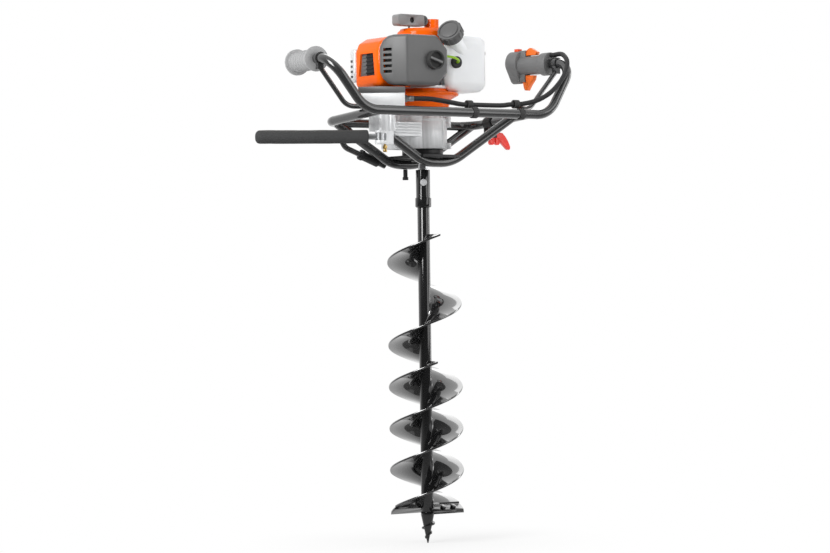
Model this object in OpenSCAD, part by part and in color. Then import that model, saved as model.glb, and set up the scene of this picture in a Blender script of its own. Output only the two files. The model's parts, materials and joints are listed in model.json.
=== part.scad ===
// Petrol earth auger: engine, reduction gearbox, tube frame with two grips and a hip bar, and a bit.
// The drill point is at the origin and the bit turns about the Z axis.

/* [Auger bit] */
// Diameter over the flights
bit_d = 152; // [120:1:200]
// Rise of a flight in one turn
flight_pitch = 170; // [140:1:200]
// Thickness of a flight
flight_t = 4; // [3:0.5:6]
// Turns of the long flight
long_turns = 3.24; // [2.5:0.01:3.4]
// Turns of the short flight
short_turns = 1.72; // [1:0.01:2.4]
// Direction of the cutting ends about the axis
cutter_angle = 174; // [0:1:359]
// Diameter of the core rod
core_d = 25; // [20:1:32]
// Height where the core rod meets the collar
core_top = 687; // [670:1:700]
// Length of the pilot point
pilot_len = 64; // [50:1:80]
// Diameter of the pilot point at its root
pilot_d = 27; // [20:1:34]
// Height of the collar under the socket
collar_h = 20; // [14:1:26]
// Diameter of that collar
collar_d = 33; // [31:1:40]
// Height of the socket above the collar
socket_h = 57; // [45:1:70]
// Outside diameter of the socket
socket_d = 29; // [27:1:32]
// Width of a cutter blade
blade_w = 30; // [20:1:36]
// Thickness of a cutter blade
blade_t = 5; // [4:0.5:7]
// Diameter of the drive pin
pin_d = 8; // [6:0.5:9]

/* [Gearbox] */
// Diameter of the output shaft
shaft_d = 20; // [17:1:22]
// Underside of the seal carrier flange
carrier_z = 793; // [785:1:800]
// Height of the gear case
case_h = 56; // [52:1:64]
// Radius of the gear case round the output shaft
case_r = 50; // [46:1:53]
// Wall of the castings
case_wall = 5; // [4:0.5:6]
// Module of all the gears
gear_module = 1.5; // [1.4:0.05:1.55]
// Teeth of the two large gears
wheel_teeth = 45; // [40:1:46]
// Teeth of the two pinions
pinion_teeth = 10; // [10:1:12]
// Height of the clutch housing
clutch_h = 43; // [42:1:48]
// Inside radius of the clutch drum
drum_r = 36; // [33:0.5:38]

/* [Engine] */
// Height of the orange cover under the crankcase
cover_h = 23; // [20:1:28]
// Height of the crankcase
crankcase_h = 78; // [76:1:86]
// Radius of the fan housing
fan_r = 49; // [47:1:52]
// Height of the fan housing
fan_h = 46; // [44:1:50]
// Length of the starter handle
handle_l = 78; // [60:1:90]
// Radius of the filter knob
knob_r = 19; // [15:1:22]
// Radius of the fuel cap
cap_r = 26; // [22:1:28]
// Height of the fuel cap
cap_h = 21; // [18:1:26]
// Wall of the plastic covers
cover_wall = 3; // [2:0.5:4]

/* [Frame] */
// Diameter of the frame tubes
tube_d = 19; // [17:1:20]
// Wall of the frame tubes
tube_wall = 2; // [1.5:0.5:3]
// Height of the straight run of the handlebar
bar_z = 875; // [860:1:890]
// Distance of that run in front of the bit axis
bar_y = 128; // [120:1:140]
// Half width between the lower bends of the handlebar
bar_half = 231; // [222:1:240]
// Half distance between the inner ends of the grips
grip_half = 296; // [288:1:304]
// Height of the left grip
grip_z = 977; // [965:1:985]
// Height of the right grip above the left one
grip_rise = 11; // [0:1:16]
// Angle by which the grips turn inwards
grip_turn = 10; // [6:1:14]
// Drop of the rear hoop below the handlebar run
hoop_drop = 15; // [12:1:18]
// Distance of the rear hoop behind the bit axis
hoop_y = 61; // [60:1:66]
// Diameter of the stay rods
stay_d = 10; // [8:1:12]
// Length of the hip bar's foam
foam_l = 226; // [150:1:260]
// Diameter of the foam
foam_d = 28; // [24:1:34]

/* [Grips and controls] */
// Length of the left grip between its flanges
grip_l = 98; // [88:1:108]
// Radius of the left grip
grip_r = 20; // [17:0.5:21]
// Radius of the flanges of the left grip
flange_r = 25; // [22:0.5:27]
// Length of the throttle housing
throttle_l = 110; // [104:1:118]
// Radius of the throttle housing's handle
throttle_r = 20; // [18:0.5:22]
// Length of the brake lever
lever_l = 56; // [50:1:62]

/* [Fits] */
// Radial clearance of a running fit
run_fit = 0.05; // [0.02:0.01:0.1]
// Gap between pieces of one assembly
seat_gap = 0.05; // [0.02:0.01:0.1]
// Gap between pieces that move past each other
move_gap = 0.4; // [0.3:0.1:1]

/* [Hidden] */
$fn = 48;
fine = 0.01;

// Heights up the bit axis
collar_top = core_top + collar_h;
socket_top = collar_top + socket_h;
pin_z = collar_top + 31;
shaft_z0 = collar_top + 6;
flange_h = 13;
hub_h = 12;
case_z = carrier_z + flange_h;
clutch_z = case_z + case_h;
cover_z = clutch_z + clutch_h;
clutch_skin_r = drum_r + 5;
clutch_rib = 2;
crank_z = cover_z + cover_h;
fan_z = crank_z + crankcase_h;
fan_top = fan_z + fan_h;

// Gear train: wheel on the output shaft, lay shaft to its left, pinion on the clutch drum
gear_centres = gear_module * (wheel_teeth + pinion_teeth) / 2;
lay_x = -gear_centres;
wheel_z = case_z + 12;
wheel_h = 14;
lay_wheel_z = case_z + 36;
lay_wheel_h = 12;
pinion_over = 2;
lay_r = 6;
drum_shaft_r = 8;
bearing_h = 10;
lay_bearing_r = 11;
drum_bearing_r = 17;
out_bearing_r = shaft_d / 2 + 11;
lay_case_r = gear_module * wheel_teeth / 2 + 3;
drum_z = clutch_z + 12;
crank_r = 8;
crank_body_r = 40;
case_plate_r = fan_r + 9;

// Frame lines
tube_r = tube_d / 2;
loop_z = 777;
loop_y = -52;
loop_half = 34;
loop_bends = [85, 85];
hoop_left = -196;
hoop_right = 176;
hoop_z = bar_z - hoop_drop;
bar_front = -bar_y;
bar_back = -56;
post_at = [-132, -45];
post_turn = -36;
hip_pivot = [-152, -64, 826];
hip_turn = 155;
foam_at = 24;

// Places on the engine
tank_lo = [14, -66, crank_z - 5];
tank_hi = [124, 62, fan_z + 33];
tank_r = 20;
neck_r = 14.5;
cylinder_z = crank_z + 39;
shroud_x0 = -138;
shroud_y = [-46, 42];
knob_at = [-44, -102, 980];
cap_at = [25, -75, 1032];
cap_dir = [-0.72, -0.42, 0.55];
groove_r = 30;
rope_r = 2;
rope_at = [-groove_r, 0];
handle_at = [-30, -4, fan_top + 5];

// Unit vector
function unit(v) = v / norm(v);

// Turn of a path at its corner i
function turn_at(p, i) = acos(unit(p[i] - p[i - 1]) * unit(p[i + 1] - p[i]));

// Length that a bend of radius r takes from each side of corner i
function trim_at(p, bends, i) =
  i == 0 || i == len(p) - 1 ? 0 : bends[i - 1] * tan(turn_at(p, i) / 2);

// Point at distance s along a grip's axis, on the side given by its sign
function grip_point(side, s, up = 0) =
  [side * (grip_half - s * sin(grip_turn)), bar_back + s * cos(grip_turn),
   grip_z + (side > 0 ? grip_rise : 0) + up];

// Height of the rear hoop's sides, which rise to the handlebar
function side_z(y) = hoop_z + hoop_drop * (hoop_y - y) / (hoop_y - bar_front);
lever_at = [hoop_right, 0, side_z(0) - 24];

// Stands children along a direction, at a place
module along(at, dir) {
  translate(at)
    rotate([0, acos(unit(dir)[2]), atan2(dir[1], dir[0])])
      children();
}

// Round bar along straight runs with a bend at each corner, joined by thin weld beads
module bent_bar(p, bends, r) {
  last = len(p) - 1;
  bead = 0.5;
  lip = 0.08;
  back = 0.2;
  for (i = [0 : last - 1]) {
    d = unit(p[i + 1] - p[i]);
    t0 = i == 0 ? 0 : trim_at(p, bends, i) + back;
    t1 = i == last - 1 ? 0 : trim_at(p, bends, i + 1) + back;
    along(p[i] + d * t0, d) cylinder(r = r, h = norm(p[i + 1] - p[i]) - t0 - t1);
  }
  for (i = [1 : last - 1]) {
    u = unit(p[i] - p[i - 1]);
    w = unit(p[i + 1] - p[i]);
    trim = trim_at(p, bends, i);
    side = unit(w - u * (u * w));
    e1 = -side;
    e3 = cross(e1, u);
    c = p[i] - u * trim + side * bends[i - 1];
    skip = back / bends[i - 1] * 180 / PI;
    along(p[i] - u * (trim + bead), u) cylinder(r = r + lip, h = 2 * bead);
    along(p[i] + w * (trim - bead), w) cylinder(r = r + lip, h = 2 * bead);
    multmatrix([[e1[0], u[0], e3[0], c[0]],
                [e1[1], u[1], e3[1], c[1]],
                [e1[2], u[2], e3[2], c[2]]])
      rotate([0, 0, skip])
        rotate_extrude(angle = turn_at(p, i) - 2 * skip)
          translate([bends[i - 1], 0]) circle(r = r);
  }
}

// The same bar as a tube, open at its ends
module bent_tube(p, bends, r, wall) {
  difference() {
    bent_bar(p, bends, r);
    bent_bar(p, bends, r - wall);
  }
}

// Smooth curve through the points of a route, in n steps for each span
function eased(p, n = 4) =
  let(last = len(p) - 1)
  concat([for (i = [0 : last - 1], k = [0 : n - 1])
    let(a = p[max(i - 1, 0)], b = p[i], c = p[i + 1], d = p[min(i + 2, last)], t = k / n)
    b + ((c - a) * t + (2 * a - 5 * b + 4 * c - d) * t * t
      + (3 * b - a - 3 * c + d) * t * t * t) / 2], [p[last]]);

// Swept cord with flat ends; side is a direction that the cord never takes
module cord(route, r, sides = 8, side = [0, 0, 1]) {
  line = eased(route);
  last = len(line) - 1;
  ring = [for (i = [0 : last])
    let(d = unit(line[min(i + 1, last)] - line[max(i - 1, 0)]),
        e = unit(cross(d, side)),
        g = cross(d, e))
    for (k = [0 : sides - 1])
      line[i] + r * (cos(360 * k / sides) * e + sin(360 * k / sides) * g)];
  walls = [for (i = [0 : last - 1], k = [0 : sides - 1])
    let(a = i * sides + k, b = i * sides + (k + 1) % sides)
    for (t = [[a, b, b + sides], [a, b + sides, a + sides]]) t];
  caps = [[for (k = [sides - 1 : -1 : 0]) k], [for (k = [0 : sides - 1]) last * sides + k]];
  polyhedron(points = ring, faces = concat([for (f = walls) [f[2], f[1], f[0]]],
    [for (c = caps) [for (k = [sides - 1 : -1 : 0]) c[k]]]));
}

// Plate wound about the axis between two radii, rising with the angle
module helix_plate(a0, turns, z0, pitch, r_in, r_out, r_in2, r_out2, t, steps = 40) {
  n = ceil(turns * steps);
  pts = [for (i = [0 : n])
    let(f = i / n, a = a0 + 360 * turns * f, z = z0 + pitch * turns * f,
        ri = r_in + (r_in2 - r_in) * f, ro = r_out + (r_out2 - r_out) * f)
    for (q = [[ri, z], [ro, z], [ro, z + t], [ri, z + t]])
      [q[0] * cos(a), q[0] * sin(a), q[1]]];
  walls = [for (i = [0 : n - 1], k = [0 : 3])
    let(a = 4 * i + k, b = 4 * i + (k + 1) % 4)
    for (f = [[a, b + 4, a + 4], [a, b, b + 4]]) f];
  ends = [[0, 2, 1], [0, 3, 2], [4 * n, 4 * n + 1, 4 * n + 2], [4 * n, 4 * n + 2, 4 * n + 3]];
  polyhedron(points = pts, faces = concat(walls, ends));
}

// Involute roll at a radius, in degrees
function roll_at(r, base) =
  let(p = acos(min(1, base / r))) tan(p) * 180 / PI - p;

// Half the angle of a tooth at a radius
function tooth_half(r, teeth) =
  let(pitch_r = gear_module * teeth / 2, base = pitch_r * cos(25), back = 0.07)
  90 / teeth - back / pitch_r * 180 / PI + roll_at(pitch_r, base) - roll_at(max(r, base), base);

// Outline of a spur gear with stub teeth, one tooth on the X axis
function gear_outline(teeth) =
  let(pitch_r = gear_module * teeth / 2, tip = pitch_r + 0.8 * gear_module,
      root = pitch_r - 1.05 * gear_module, base = max(root + fine, pitch_r * cos(25)),
      radii = [root, base, pitch_r, tip])
  [for (k = [0 : teeth - 1], s = [-1, 1], i = [0 : 3])
    let(r = radii[s < 0 ? i : 3 - i], a = 360 * k / teeth + s * tooth_half(r, teeth))
    r * [cos(a), sin(a)]];

module gear(teeth, h, turn = 0) {
  rotate([0, 0, turn]) linear_extrude(h) polygon(gear_outline(teeth));
}

// Box with all its edges rounded
module soft_box(lo, hi, r) {
  steps = 7;
  top = 82;
  count = 4 * (steps + 1);
  low = [for (k = [steps : -1 : 0]) [lo[2] + r - r * sin(top * k / steps) / sin(top), top * k / steps]];
  high = [for (k = [0 : steps]) [hi[2] - r + r * sin(top * k / steps) / sin(top), top * k / steps]];
  tiers = concat(low, high);
  corners = [[hi[0] - r, hi[1] - r], [lo[0] + r, hi[1] - r], [lo[0] + r, lo[1] + r],
    [hi[0] - r, lo[1] + r]];
  points = [for (t = tiers, c = [0 : 3], k = [0 : steps])
    let (turn = 90 * (c + k / steps), reach = r * cos(t[1]))
      [corners[c][0] + reach * cos(turn), corners[c][1] + reach * sin(turn), t[0]]];
  sides = [for (i = [0 : len(tiers) - 2], k = [0 : count - 1])
    [i * count + k, (i + 1) * count + k, (i + 1) * count + (k + 1) % count,
      i * count + (k + 1) % count]];
  floor = [for (k = [0 : count - 1]) k];
  roof = [for (k = [count - 1 : -1 : 0]) (len(tiers) - 1) * count + k];
  polyhedron(points, concat(sides, [floor, roof]), convexity = 4);
}

// Block between two corners
module block(lo, hi) {
  translate(lo) cube(hi - lo);
}

// Ring with a bore
module ring(r_out, r_in, h) {
  difference() {
    cylinder(r = r_out, h = h);
    translate([0, 0, -1]) cylinder(r = r_in, h = h + 2);
  }
}

// Auger bit

flight_z0 = pilot_len + 13;
core_r = core_d / 2;

module core_rod() {
  color("#1b1b1d") translate([0, 0, pilot_len]) cylinder(r = core_r, h = core_top - pilot_len);
}

module bit_socket() {
  chamfer = 2;
  color("#1b1b1d") difference() {
    rotate_extrude() polygon([[0, core_top], [collar_d / 2 - chamfer, core_top],
      [collar_d / 2, core_top + chamfer], [collar_d / 2, collar_top - chamfer / 2],
      [collar_d / 2 - chamfer / 2, collar_top], [socket_d / 2, collar_top],
      [socket_d / 2, socket_top], [0, socket_top]]);
    translate([0, 0, shaft_z0 - 1]) cylinder(r = shaft_d / 2 + seat_gap, h = socket_top);
    pin_line() cylinder(r = pin_d / 2 + seat_gap, h = 2 * socket_d, center = true);
  }
}

// Line of the drive pin, which faces the front left
module pin_line() {
  translate([0, 0, pin_z]) rotate([0, 90, 238]) children();
}

module drive_pin() {
  head_r = 6.8;
  head_h = 4;
  color("#c9cbcc") pin_line() {
    translate([0, 0, -socket_d / 2 - 9]) cylinder(r = pin_d / 2, h = socket_d + 9);
    translate([0, 0, socket_d / 2]) cylinder(r = head_r, h = head_h);
    translate([0, 0, -socket_d / 2 - 7]) cylinder(r = head_r, h = 6.8, $fn = 6);
  }
}

module flight_long() {
  color("#1b1b1d") helix_plate(cutter_angle, long_turns, flight_z0, flight_pitch,
    core_r + seat_gap, bit_d / 2, core_r + seat_gap, bit_d / 2, flight_t);
}

module flight_short() {
  color("#1b1b1d") helix_plate(cutter_angle + 180, short_turns, flight_z0, flight_pitch,
    core_r + seat_gap, bit_d / 2, core_r + seat_gap, bit_d / 2, flight_t);
}

module pilot_screw() {
  tip_r = 1.2;
  land = 6;
  thread_t = 3;
  thread_turns = 2;
  thread_z = 6;
  thread_pitch = 19;
  color("#1b1b1d") {
    rotate_extrude() polygon([[0, 0], [tip_r, 0], [pilot_d / 2, pilot_len - land],
      [pilot_d / 2, pilot_len], [0, pilot_len]]);
    helix_plate(60, thread_turns, thread_z, thread_pitch, 1.5, 4.5, 6, pilot_d * 0.62,
      thread_t, 24);
  }
}

// Slope and place of one cutter blade, behind the lower end of a flight
module blade_frame(k) {
  slope = 24;
  rotate([0, 0, cutter_angle + 180 * k])
    translate([0, -1, flight_z0])
      rotate([slope, 0, 0])
        children();
}

module cutter_blades() {
  edge = 6;
  color("#202124") difference() {
    intersection() {
      for (k = [0, 1])
        blade_frame(k)
          rotate([90, 0, 90])
            linear_extrude(bit_d / 2)
              polygon([[-blade_w, -blade_t], [0, -blade_t], [0, 0], [-blade_w + edge, 0]]);
      cylinder(r = bit_d / 2, h = 2 * pilot_len);
    }
    cylinder(r = max(core_r, pilot_d / 2) + seat_gap, h = 2 * pilot_len);
  }
}

module cutter_bolts() {
  head_r = 6.5;
  head_h = 4.5;
  color("#8d9093") for (k = [0, 1], x = [core_r + 16, core_r + 40])
    blade_frame(k)
      translate([x, -blade_w / 2 + 1, seat_gap]) cylinder(r = head_r, h = head_h, $fn = 6);
}

// Gear train

module output_shaft() {
  color("#d5d7d8") difference() {
    translate([0, 0, shaft_z0]) cylinder(r = shaft_d / 2, h = wheel_z + wheel_h + 5 - shaft_z0);
    pin_line() cylinder(r = pin_d / 2 + seat_gap, h = 2 * socket_d, center = true);
  }
}

module output_gear() {
  color("#a9abad") translate([0, 0, wheel_z]) difference() {
    gear(wheel_teeth, wheel_h, 180);
    translate([0, 0, -1]) cylinder(r = shaft_d / 2 + seat_gap, h = wheel_h + 2);
  }
}

module lay_shaft() {
  z0 = case_z + 1 + seat_gap;
  color("#a9abad") translate([lay_x, 0, 0]) {
    translate([0, 0, z0]) cylinder(r = lay_r, h = clutch_z + bearing_h - 1 - z0);
    translate([0, 0, wheel_z - pinion_over])
      gear(pinion_teeth, wheel_h + 2 * pinion_over, 180 / pinion_teeth);
  }
}

module lay_gear() {
  color("#a9abad") translate([lay_x, 0, lay_wheel_z]) difference() {
    gear(wheel_teeth, lay_wheel_h);
    translate([0, 0, -1]) cylinder(r = lay_r + seat_gap, h = lay_wheel_h + 2);
  }
}

module clutch_drum() {
  rim = 3.5;
  floor_h = 4;
  drum_h = 24;
  color("#9b9da0") {
    translate([0, 0, lay_wheel_z - pinion_over])
      gear(pinion_teeth, lay_wheel_h + 2 * pinion_over, 180 / pinion_teeth);
    translate([0, 0, lay_wheel_z]) cylinder(r = gear_module * 3.5, h = drum_z - lay_wheel_z);
    translate([0, 0, clutch_z]) cylinder(r = drum_shaft_r, h = drum_z - clutch_z);
    translate([0, 0, drum_z]) cylinder(r = drum_r + rim, h = floor_h);
    translate([0, 0, drum_z + floor_h]) ring(drum_r + rim, drum_r, drum_h - floor_h);
  }
}

// Engine shafts

module crankshaft() {
  throw = 16;
  web_r = 29;
  web_h = 12;
  web_gap = 12;
  color("#b4b6b8") {
    translate([0, 0, drum_z + 6]) cylinder(r = crank_r, h = cylinder_z - web_gap / 2 - drum_z - 6);
    for (z = [cylinder_z - web_gap / 2 - web_h, cylinder_z + web_gap / 2])
      translate([0, 0, z]) cylinder(r = web_r, h = web_h);
    translate([-throw, 0, cylinder_z - web_gap / 2]) cylinder(r = 7, h = web_gap);
    translate([0, 0, cylinder_z + web_gap / 2]) cylinder(r = crank_r,
      h = fan_z + 22 - cylinder_z - web_gap / 2);
  }
}

module clutch_shoes() {
  shoe_h = 14;
  color("#6f7275") translate([0, 0, drum_z + 7]) {
    ring(17, crank_r + seat_gap, shoe_h);
    for (k = [0, 1]) rotate([0, 0, 180 * k])
      rotate_extrude(angle = 150) translate([16.5, 0]) square([drum_r - 17.3, shoe_h]);
  }
}

module flywheel() {
  disc_h = 9;
  vane_h = 9;
  vanes = 14;
  wheel_r = fan_r - 6;
  color("#c2c4c6") translate([0, 0, fan_z + 4]) difference() {
    union() {
      cylinder(r = wheel_r, h = disc_h);
      for (k = [0 : vanes - 1]) rotate([0, 0, 360 * k / vanes])
        translate([22, -1.2, disc_h - fine]) cube([wheel_r - 23, 2.4, vane_h]);
    }
    translate([0, 0, -1]) cylinder(r = crank_r + seat_gap, h = disc_h + 2);
  }
}

// Gearbox castings

ear_r = 6;
ear_h = 12;
ear_bore = 2.5;
case_ear = case_r + 3;
lay_ear = lay_case_r + case_wall + 3;
ears = [for (side = [-1, 1])
  for (e = [[case_ear * cos(40), side * case_ear * sin(40)],
            [lay_x - lay_ear * cos(30), side * lay_ear * sin(30)]]) e];

module seal_carrier() {
  hub_r = out_bearing_r + 3;
  color("#17181a") difference() {
    union() {
      translate([0, 0, carrier_z]) cylinder(r = case_r - 8, h = flange_h);
      translate([0, 0, carrier_z - hub_h]) cylinder(r = hub_r, h = hub_h);
    }
    translate([0, 0, carrier_z + 1]) cylinder(r = out_bearing_r + seat_gap, h = flange_h);
    translate([0, 0, carrier_z - hub_h - 1]) cylinder(r = shaft_d / 2 + move_gap, h = 2 * hub_h);
  }
}

module gearbox_case() {
  floor_h = 6;
  rib_w = 4;
  color("#b9bcbe") difference() {
    union() {
      translate([0, 0, case_z]) cylinder(r = case_r, h = case_h);
      translate([lay_x, 0, case_z]) cylinder(r = lay_case_r + case_wall, h = case_h);
      for (e = ears, z = [case_z, clutch_z - ear_h])
        translate([e[0], e[1], z]) cylinder(r = ear_r, h = ear_h);
      for (a = [-70, -20, 0, 20, 70]) rotate([0, 0, a])
        translate([case_r - 3, -rib_w / 2, case_z]) cube([5, rib_w, case_h]);
    }
    translate([0, 0, case_z + floor_h]) cylinder(r = case_r - case_wall, h = case_h);
    translate([lay_x, 0, case_z + floor_h]) cylinder(r = lay_case_r, h = case_h);
    translate([0, 0, case_z - 1]) cylinder(r = shaft_d / 2 + move_gap, h = floor_h + 2);
    translate([lay_x, 0, case_z + 1]) cylinder(r = lay_bearing_r + seat_gap, h = floor_h);
    for (e = ears) translate([e[0], e[1], case_z - 1]) cylinder(r = ear_bore, h = case_h + 2);
  }
}

module clutch_housing() {
  floor_h = bearing_h;
  ribs = 20;
  color("#c4c7c9") difference() {
    union() {
      translate([0, 0, clutch_z]) cylinder(r = clutch_skin_r + case_wall, h = clutch_h);
      translate([0, 0, clutch_z]) cylinder(r = case_r, h = 6);
      translate([lay_x, 0, clutch_z]) cylinder(r = lay_case_r + case_wall, h = floor_h + 2);
      for (e = ears) translate([e[0], e[1], clutch_z]) cylinder(r = ear_r, h = ear_h);
      for (k = [0 : ribs - 1]) rotate([0, 0, 360 * k / ribs])
        translate([clutch_skin_r + case_wall - 1, -1.5, clutch_z])
          cube([1 + clutch_rib, 3, clutch_h]);
    }
    translate([0, 0, clutch_z + floor_h]) cylinder(r = clutch_skin_r, h = clutch_h);
    translate([0, 0, clutch_z - 1]) cylinder(r = drum_bearing_r + seat_gap, h = clutch_h);
    translate([lay_x, 0, clutch_z - 1]) cylinder(r = lay_bearing_r + seat_gap, h = floor_h);
    for (e = ears) translate([e[0], e[1], clutch_z - 1]) cylinder(r = ear_bore, h = ear_h + 2);
  }
}

module gear_bearings() {
  color("#8f9295") {
    translate([0, 0, carrier_z + 1 + seat_gap])
      ring(out_bearing_r, shaft_d / 2 + run_fit, flange_h - 2 + 0.5);
    translate([lay_x, 0, case_z + 1 + seat_gap]) ring(lay_bearing_r, lay_r + run_fit, 5);
    translate([lay_x, 0, clutch_z]) ring(lay_bearing_r, lay_r + run_fit, bearing_h - 2);
    translate([0, 0, clutch_z]) ring(drum_bearing_r, drum_shaft_r + run_fit, bearing_h);
  }
}

module gearbox_screws() {
  head_r = 4.5;
  head_h = 5;
  color("#3a3b3d") for (e = ears) translate([e[0], e[1], 0]) {
    translate([0, 0, clutch_z - ear_h + 1]) cylinder(r = ear_bore - 0.1, h = 2 * ear_h - 1);
    translate([0, 0, clutch_z + ear_h + seat_gap]) cylinder(r = head_r, h = head_h);
  }
}

// Engine castings and covers

module clutch_cover() {
  top_r = fan_r + 27;
  bottom_r = fan_r + 11;
  seat_r = fan_r + 7;
  skirt_r = clutch_skin_r + case_wall + clutch_rib + move_gap;
  skirt_z = cover_z - 20;
  color("#f26a1b") difference() {
    rotate_extrude() polygon([[0, cover_z], [skirt_r, cover_z], [skirt_r, skirt_z],
      [skirt_r + 4, skirt_z], [skirt_r + 5, skirt_z + 1], [bottom_r, cover_z + 2],
      [top_r - 1, tank_lo[2] - 8], [top_r, tank_lo[2] - 6], [top_r - 2, tank_lo[2] - 2],
      [seat_r, tank_lo[2] - 2], [seat_r, crank_z], [0, crank_z]]);
    translate([0, 0, cover_z - 1]) cylinder(r = drum_r + 4, h = cover_h - 3);
    translate([0, 0, cover_z]) cylinder(r = crank_r + move_gap, h = cover_h + 1);
  }
}

module crankcase() {
  plate_h = 6;
  cavity_r = 33;
  wall = 11;
  color("#b4b7b9") difference() {
    union() {
      translate([0, 0, crank_z]) cylinder(r = case_plate_r, h = plate_h);
      translate([0, 0, crank_z]) cylinder(r = crank_body_r, h = crankcase_h);
      translate([0, 0, fan_z - plate_h]) cylinder(r = case_plate_r, h = plate_h);
    }
    translate([0, 0, crank_z + wall]) cylinder(r = cavity_r, h = crankcase_h - 2 * wall);
    translate([0, 0, crank_z - 1]) cylinder(r = crank_r + run_fit, h = crankcase_h + 2);
    translate([-crank_body_r, 0, cylinder_z]) rotate([0, 90, 0]) cylinder(r = 17, h = crank_body_r);
  }
}

module engine_cylinder() {
  barrel_r = 22;
  bore_r = 17;
  fin_r = 27;
  fins = 7;
  fin_x = -64;
  fin_step = 8;
  head_x = -122;
  color("#a6a9ab") difference() {
    translate([0, 0, cylinder_z]) rotate([0, -90, 0]) {
      translate([0, 0, 36]) cylinder(r = barrel_r, h = -head_x - 36);
      for (k = [0 : fins - 1])
        translate([0, 0, -fin_x + fin_step * k]) cylinder(r = fin_r, h = 3);
    }
    translate([0, 0, cylinder_z]) rotate([0, -90, 0]) cylinder(r = bore_r, h = -head_x - 10);
    translate([0, 0, crank_z]) cylinder(r = crank_body_r + seat_gap, h = crankcase_h);
  }
}

module cylinder_cover() {
  lo = [shroud_x0, shroud_y[0], crank_z + 1];
  hi = [-case_plate_r - 0.3, shroud_y[1], fan_z + 24];
  r = 10;
  in = cover_wall + 2;
  window = [[-29, crank_z + 24], [27, crank_z + 24], [20, crank_z + 69], [-24, crank_z + 69]];
  profile = [[lo[0] + r, lo[2] + r], [lo[0] + r, hi[2] - 30], [lo[0] + 15, hi[2] - 18],
    [lo[0] + 29, hi[2] - r], [hi[0] + r, hi[2] - r], [hi[0] + r, lo[2] + r]];
  hollow = [[lo[0] + in, lo[2] + in], [lo[0] + in, hi[2] - 30], [lo[0] + 11, hi[2] - 15],
    [lo[0] + 28, hi[2] - in], [hi[0] + 1, hi[2] - in], [hi[0] + 1, lo[2] + in]];
  color("#f26a1b") difference() {
    hull()
      for (q = profile, y = [lo[1] + r, hi[1] - r])
        translate([q[0], y, q[1]]) sphere(r = r, $fn = 32);
    translate([0, hi[1] - in, 0]) rotate([90, 0, 0])
      linear_extrude(hi[1] - lo[1] - 2 * in) polygon(hollow);
    block([hi[0], lo[1] - 1, lo[2] - 1], hi + [3 * r, 1, 1]);
    translate([lo[0] - 1, 0, 0]) rotate([90, 0, 90]) linear_extrude(2 * in) polygon(window);
  }
}

module vent_insert() {
  x0 = shroud_x0 + cover_wall + 2 + seat_gap;
  slats = 5;
  color("#26272a") {
    block([x0, -32, crank_z + 20], [x0 + 3, 30, crank_z + 71]);
    for (k = [0 : slats - 1])
      block([x0 - 2, -18, crank_z + 29 + 8 * k], [x0, 16, crank_z + 32 + 8 * k]);
  }
}

module muffler() {
  lo = [shroud_x0 + 2, shroud_y[1] + 0.3, crank_z + 14];
  hi = [-62, shroud_y[1] + 20.5, crank_z + 82];
  slot_h = 5.2;
  slot_step = 10.5;
  color("#d9dadb") difference() {
    soft_box(lo, hi, 6);
    soft_box(lo + [2, 2, 2], hi - [2, 2, 2], 4);
    for (k = [0 : 3]) {
      z = lo[2] + 9 + slot_step * k;
      block([lo[0] - 1, hi[1] - 12, z], [lo[0] + 3, hi[1] - 3, z + slot_h]);
      block([lo[0] + 12, hi[1] - 3, z], [hi[0] - 12, hi[1] + 1, z + slot_h]);
    }
  }
}

module fan_housing() {
  wall = 3.5;
  chamfer = 7;
  post_r = 5;
  slots = 12;
  cup_r = 15;
  cup_h = 21;
  color("#f26a1b") {
    difference() {
      rotate_extrude() polygon([[0, fan_z], [fan_r, fan_z], [fan_r, fan_top - chamfer],
        [fan_r - chamfer, fan_top], [0, fan_top]]);
      rotate_extrude() polygon([[0, fan_z - 1], [fan_r - wall, fan_z - 1],
        [fan_r - wall, fan_top - chamfer - 1], [fan_r - wall - chamfer + 2, fan_top - wall],
        [0, fan_top - wall]]);
      translate([rope_at[0], rope_at[1], fan_top - 10]) cylinder(r = rope_r + move_gap, h = 20);
      for (k = [0 : slots - 1]) rotate([0, 0, 360 * k / slots + 15])
        translate([23, -2, fan_top - 10]) cube([14, 4, 20]);
    }
    translate([0, 0, fan_z + 24]) cylinder(r = post_r, h = fan_h - 24 - wall / 2);
    difference() {
      translate([27, 0, fan_top - fine]) cylinder(r = cup_r, h = cup_h);
      translate([27, 0, fan_top + cup_h - 3]) cylinder(r = cup_r - 4, h = 5);
    }
  }
}

module starter_pulley() {
  z0 = fan_z + 25;
  color("#2b2c2e") translate([0, 0, z0]) difference() {
    rotate_extrude() polygon([[0, 0], [groove_r + 4, 0], [groove_r + 4, 2], [groove_r, 4],
      [groove_r, 5], [groove_r + 4, 7], [groove_r + 4, 9], [0, 9]]);
    translate([0, 0, -1]) cylinder(r = 5 + run_fit, h = 12);
  }
}

module starter_handle() {
  half = handle_l / 2;
  size_y = 22;
  size_z = 23;
  color("#8c8f92") difference() {
    translate(handle_at) hull() {
      for (x = [-half + 8, half - 16], z = [6, size_z - 6]) translate([x, 0, z])
        rotate([90, 0, 0]) cylinder(r = 6, h = size_y, center = true, $fn = 32);
      translate([half - 11, 0, size_z / 2])
        rotate([90, 0, 0]) cylinder(r = 11, h = size_y - 4, center = true, $fn = 32);
    }
    translate(handle_at + [-2, -size_y / 2 - 1, size_z / 2])
      rotate([-90, 0, 0]) cylinder(r = 6, h = 6);
    translate([rope_at[0], rope_at[1], handle_at[2] - 1]) cylinder(r = rope_r + seat_gap, h = 9);
  }
}

module starter_rope() {
  z0 = fan_top - 2.5;
  color("#e9e6dc") translate([rope_at[0], rope_at[1], z0])
    cylinder(r = rope_r, h = handle_at[2] + 8 - seat_gap - z0);
}

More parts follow.
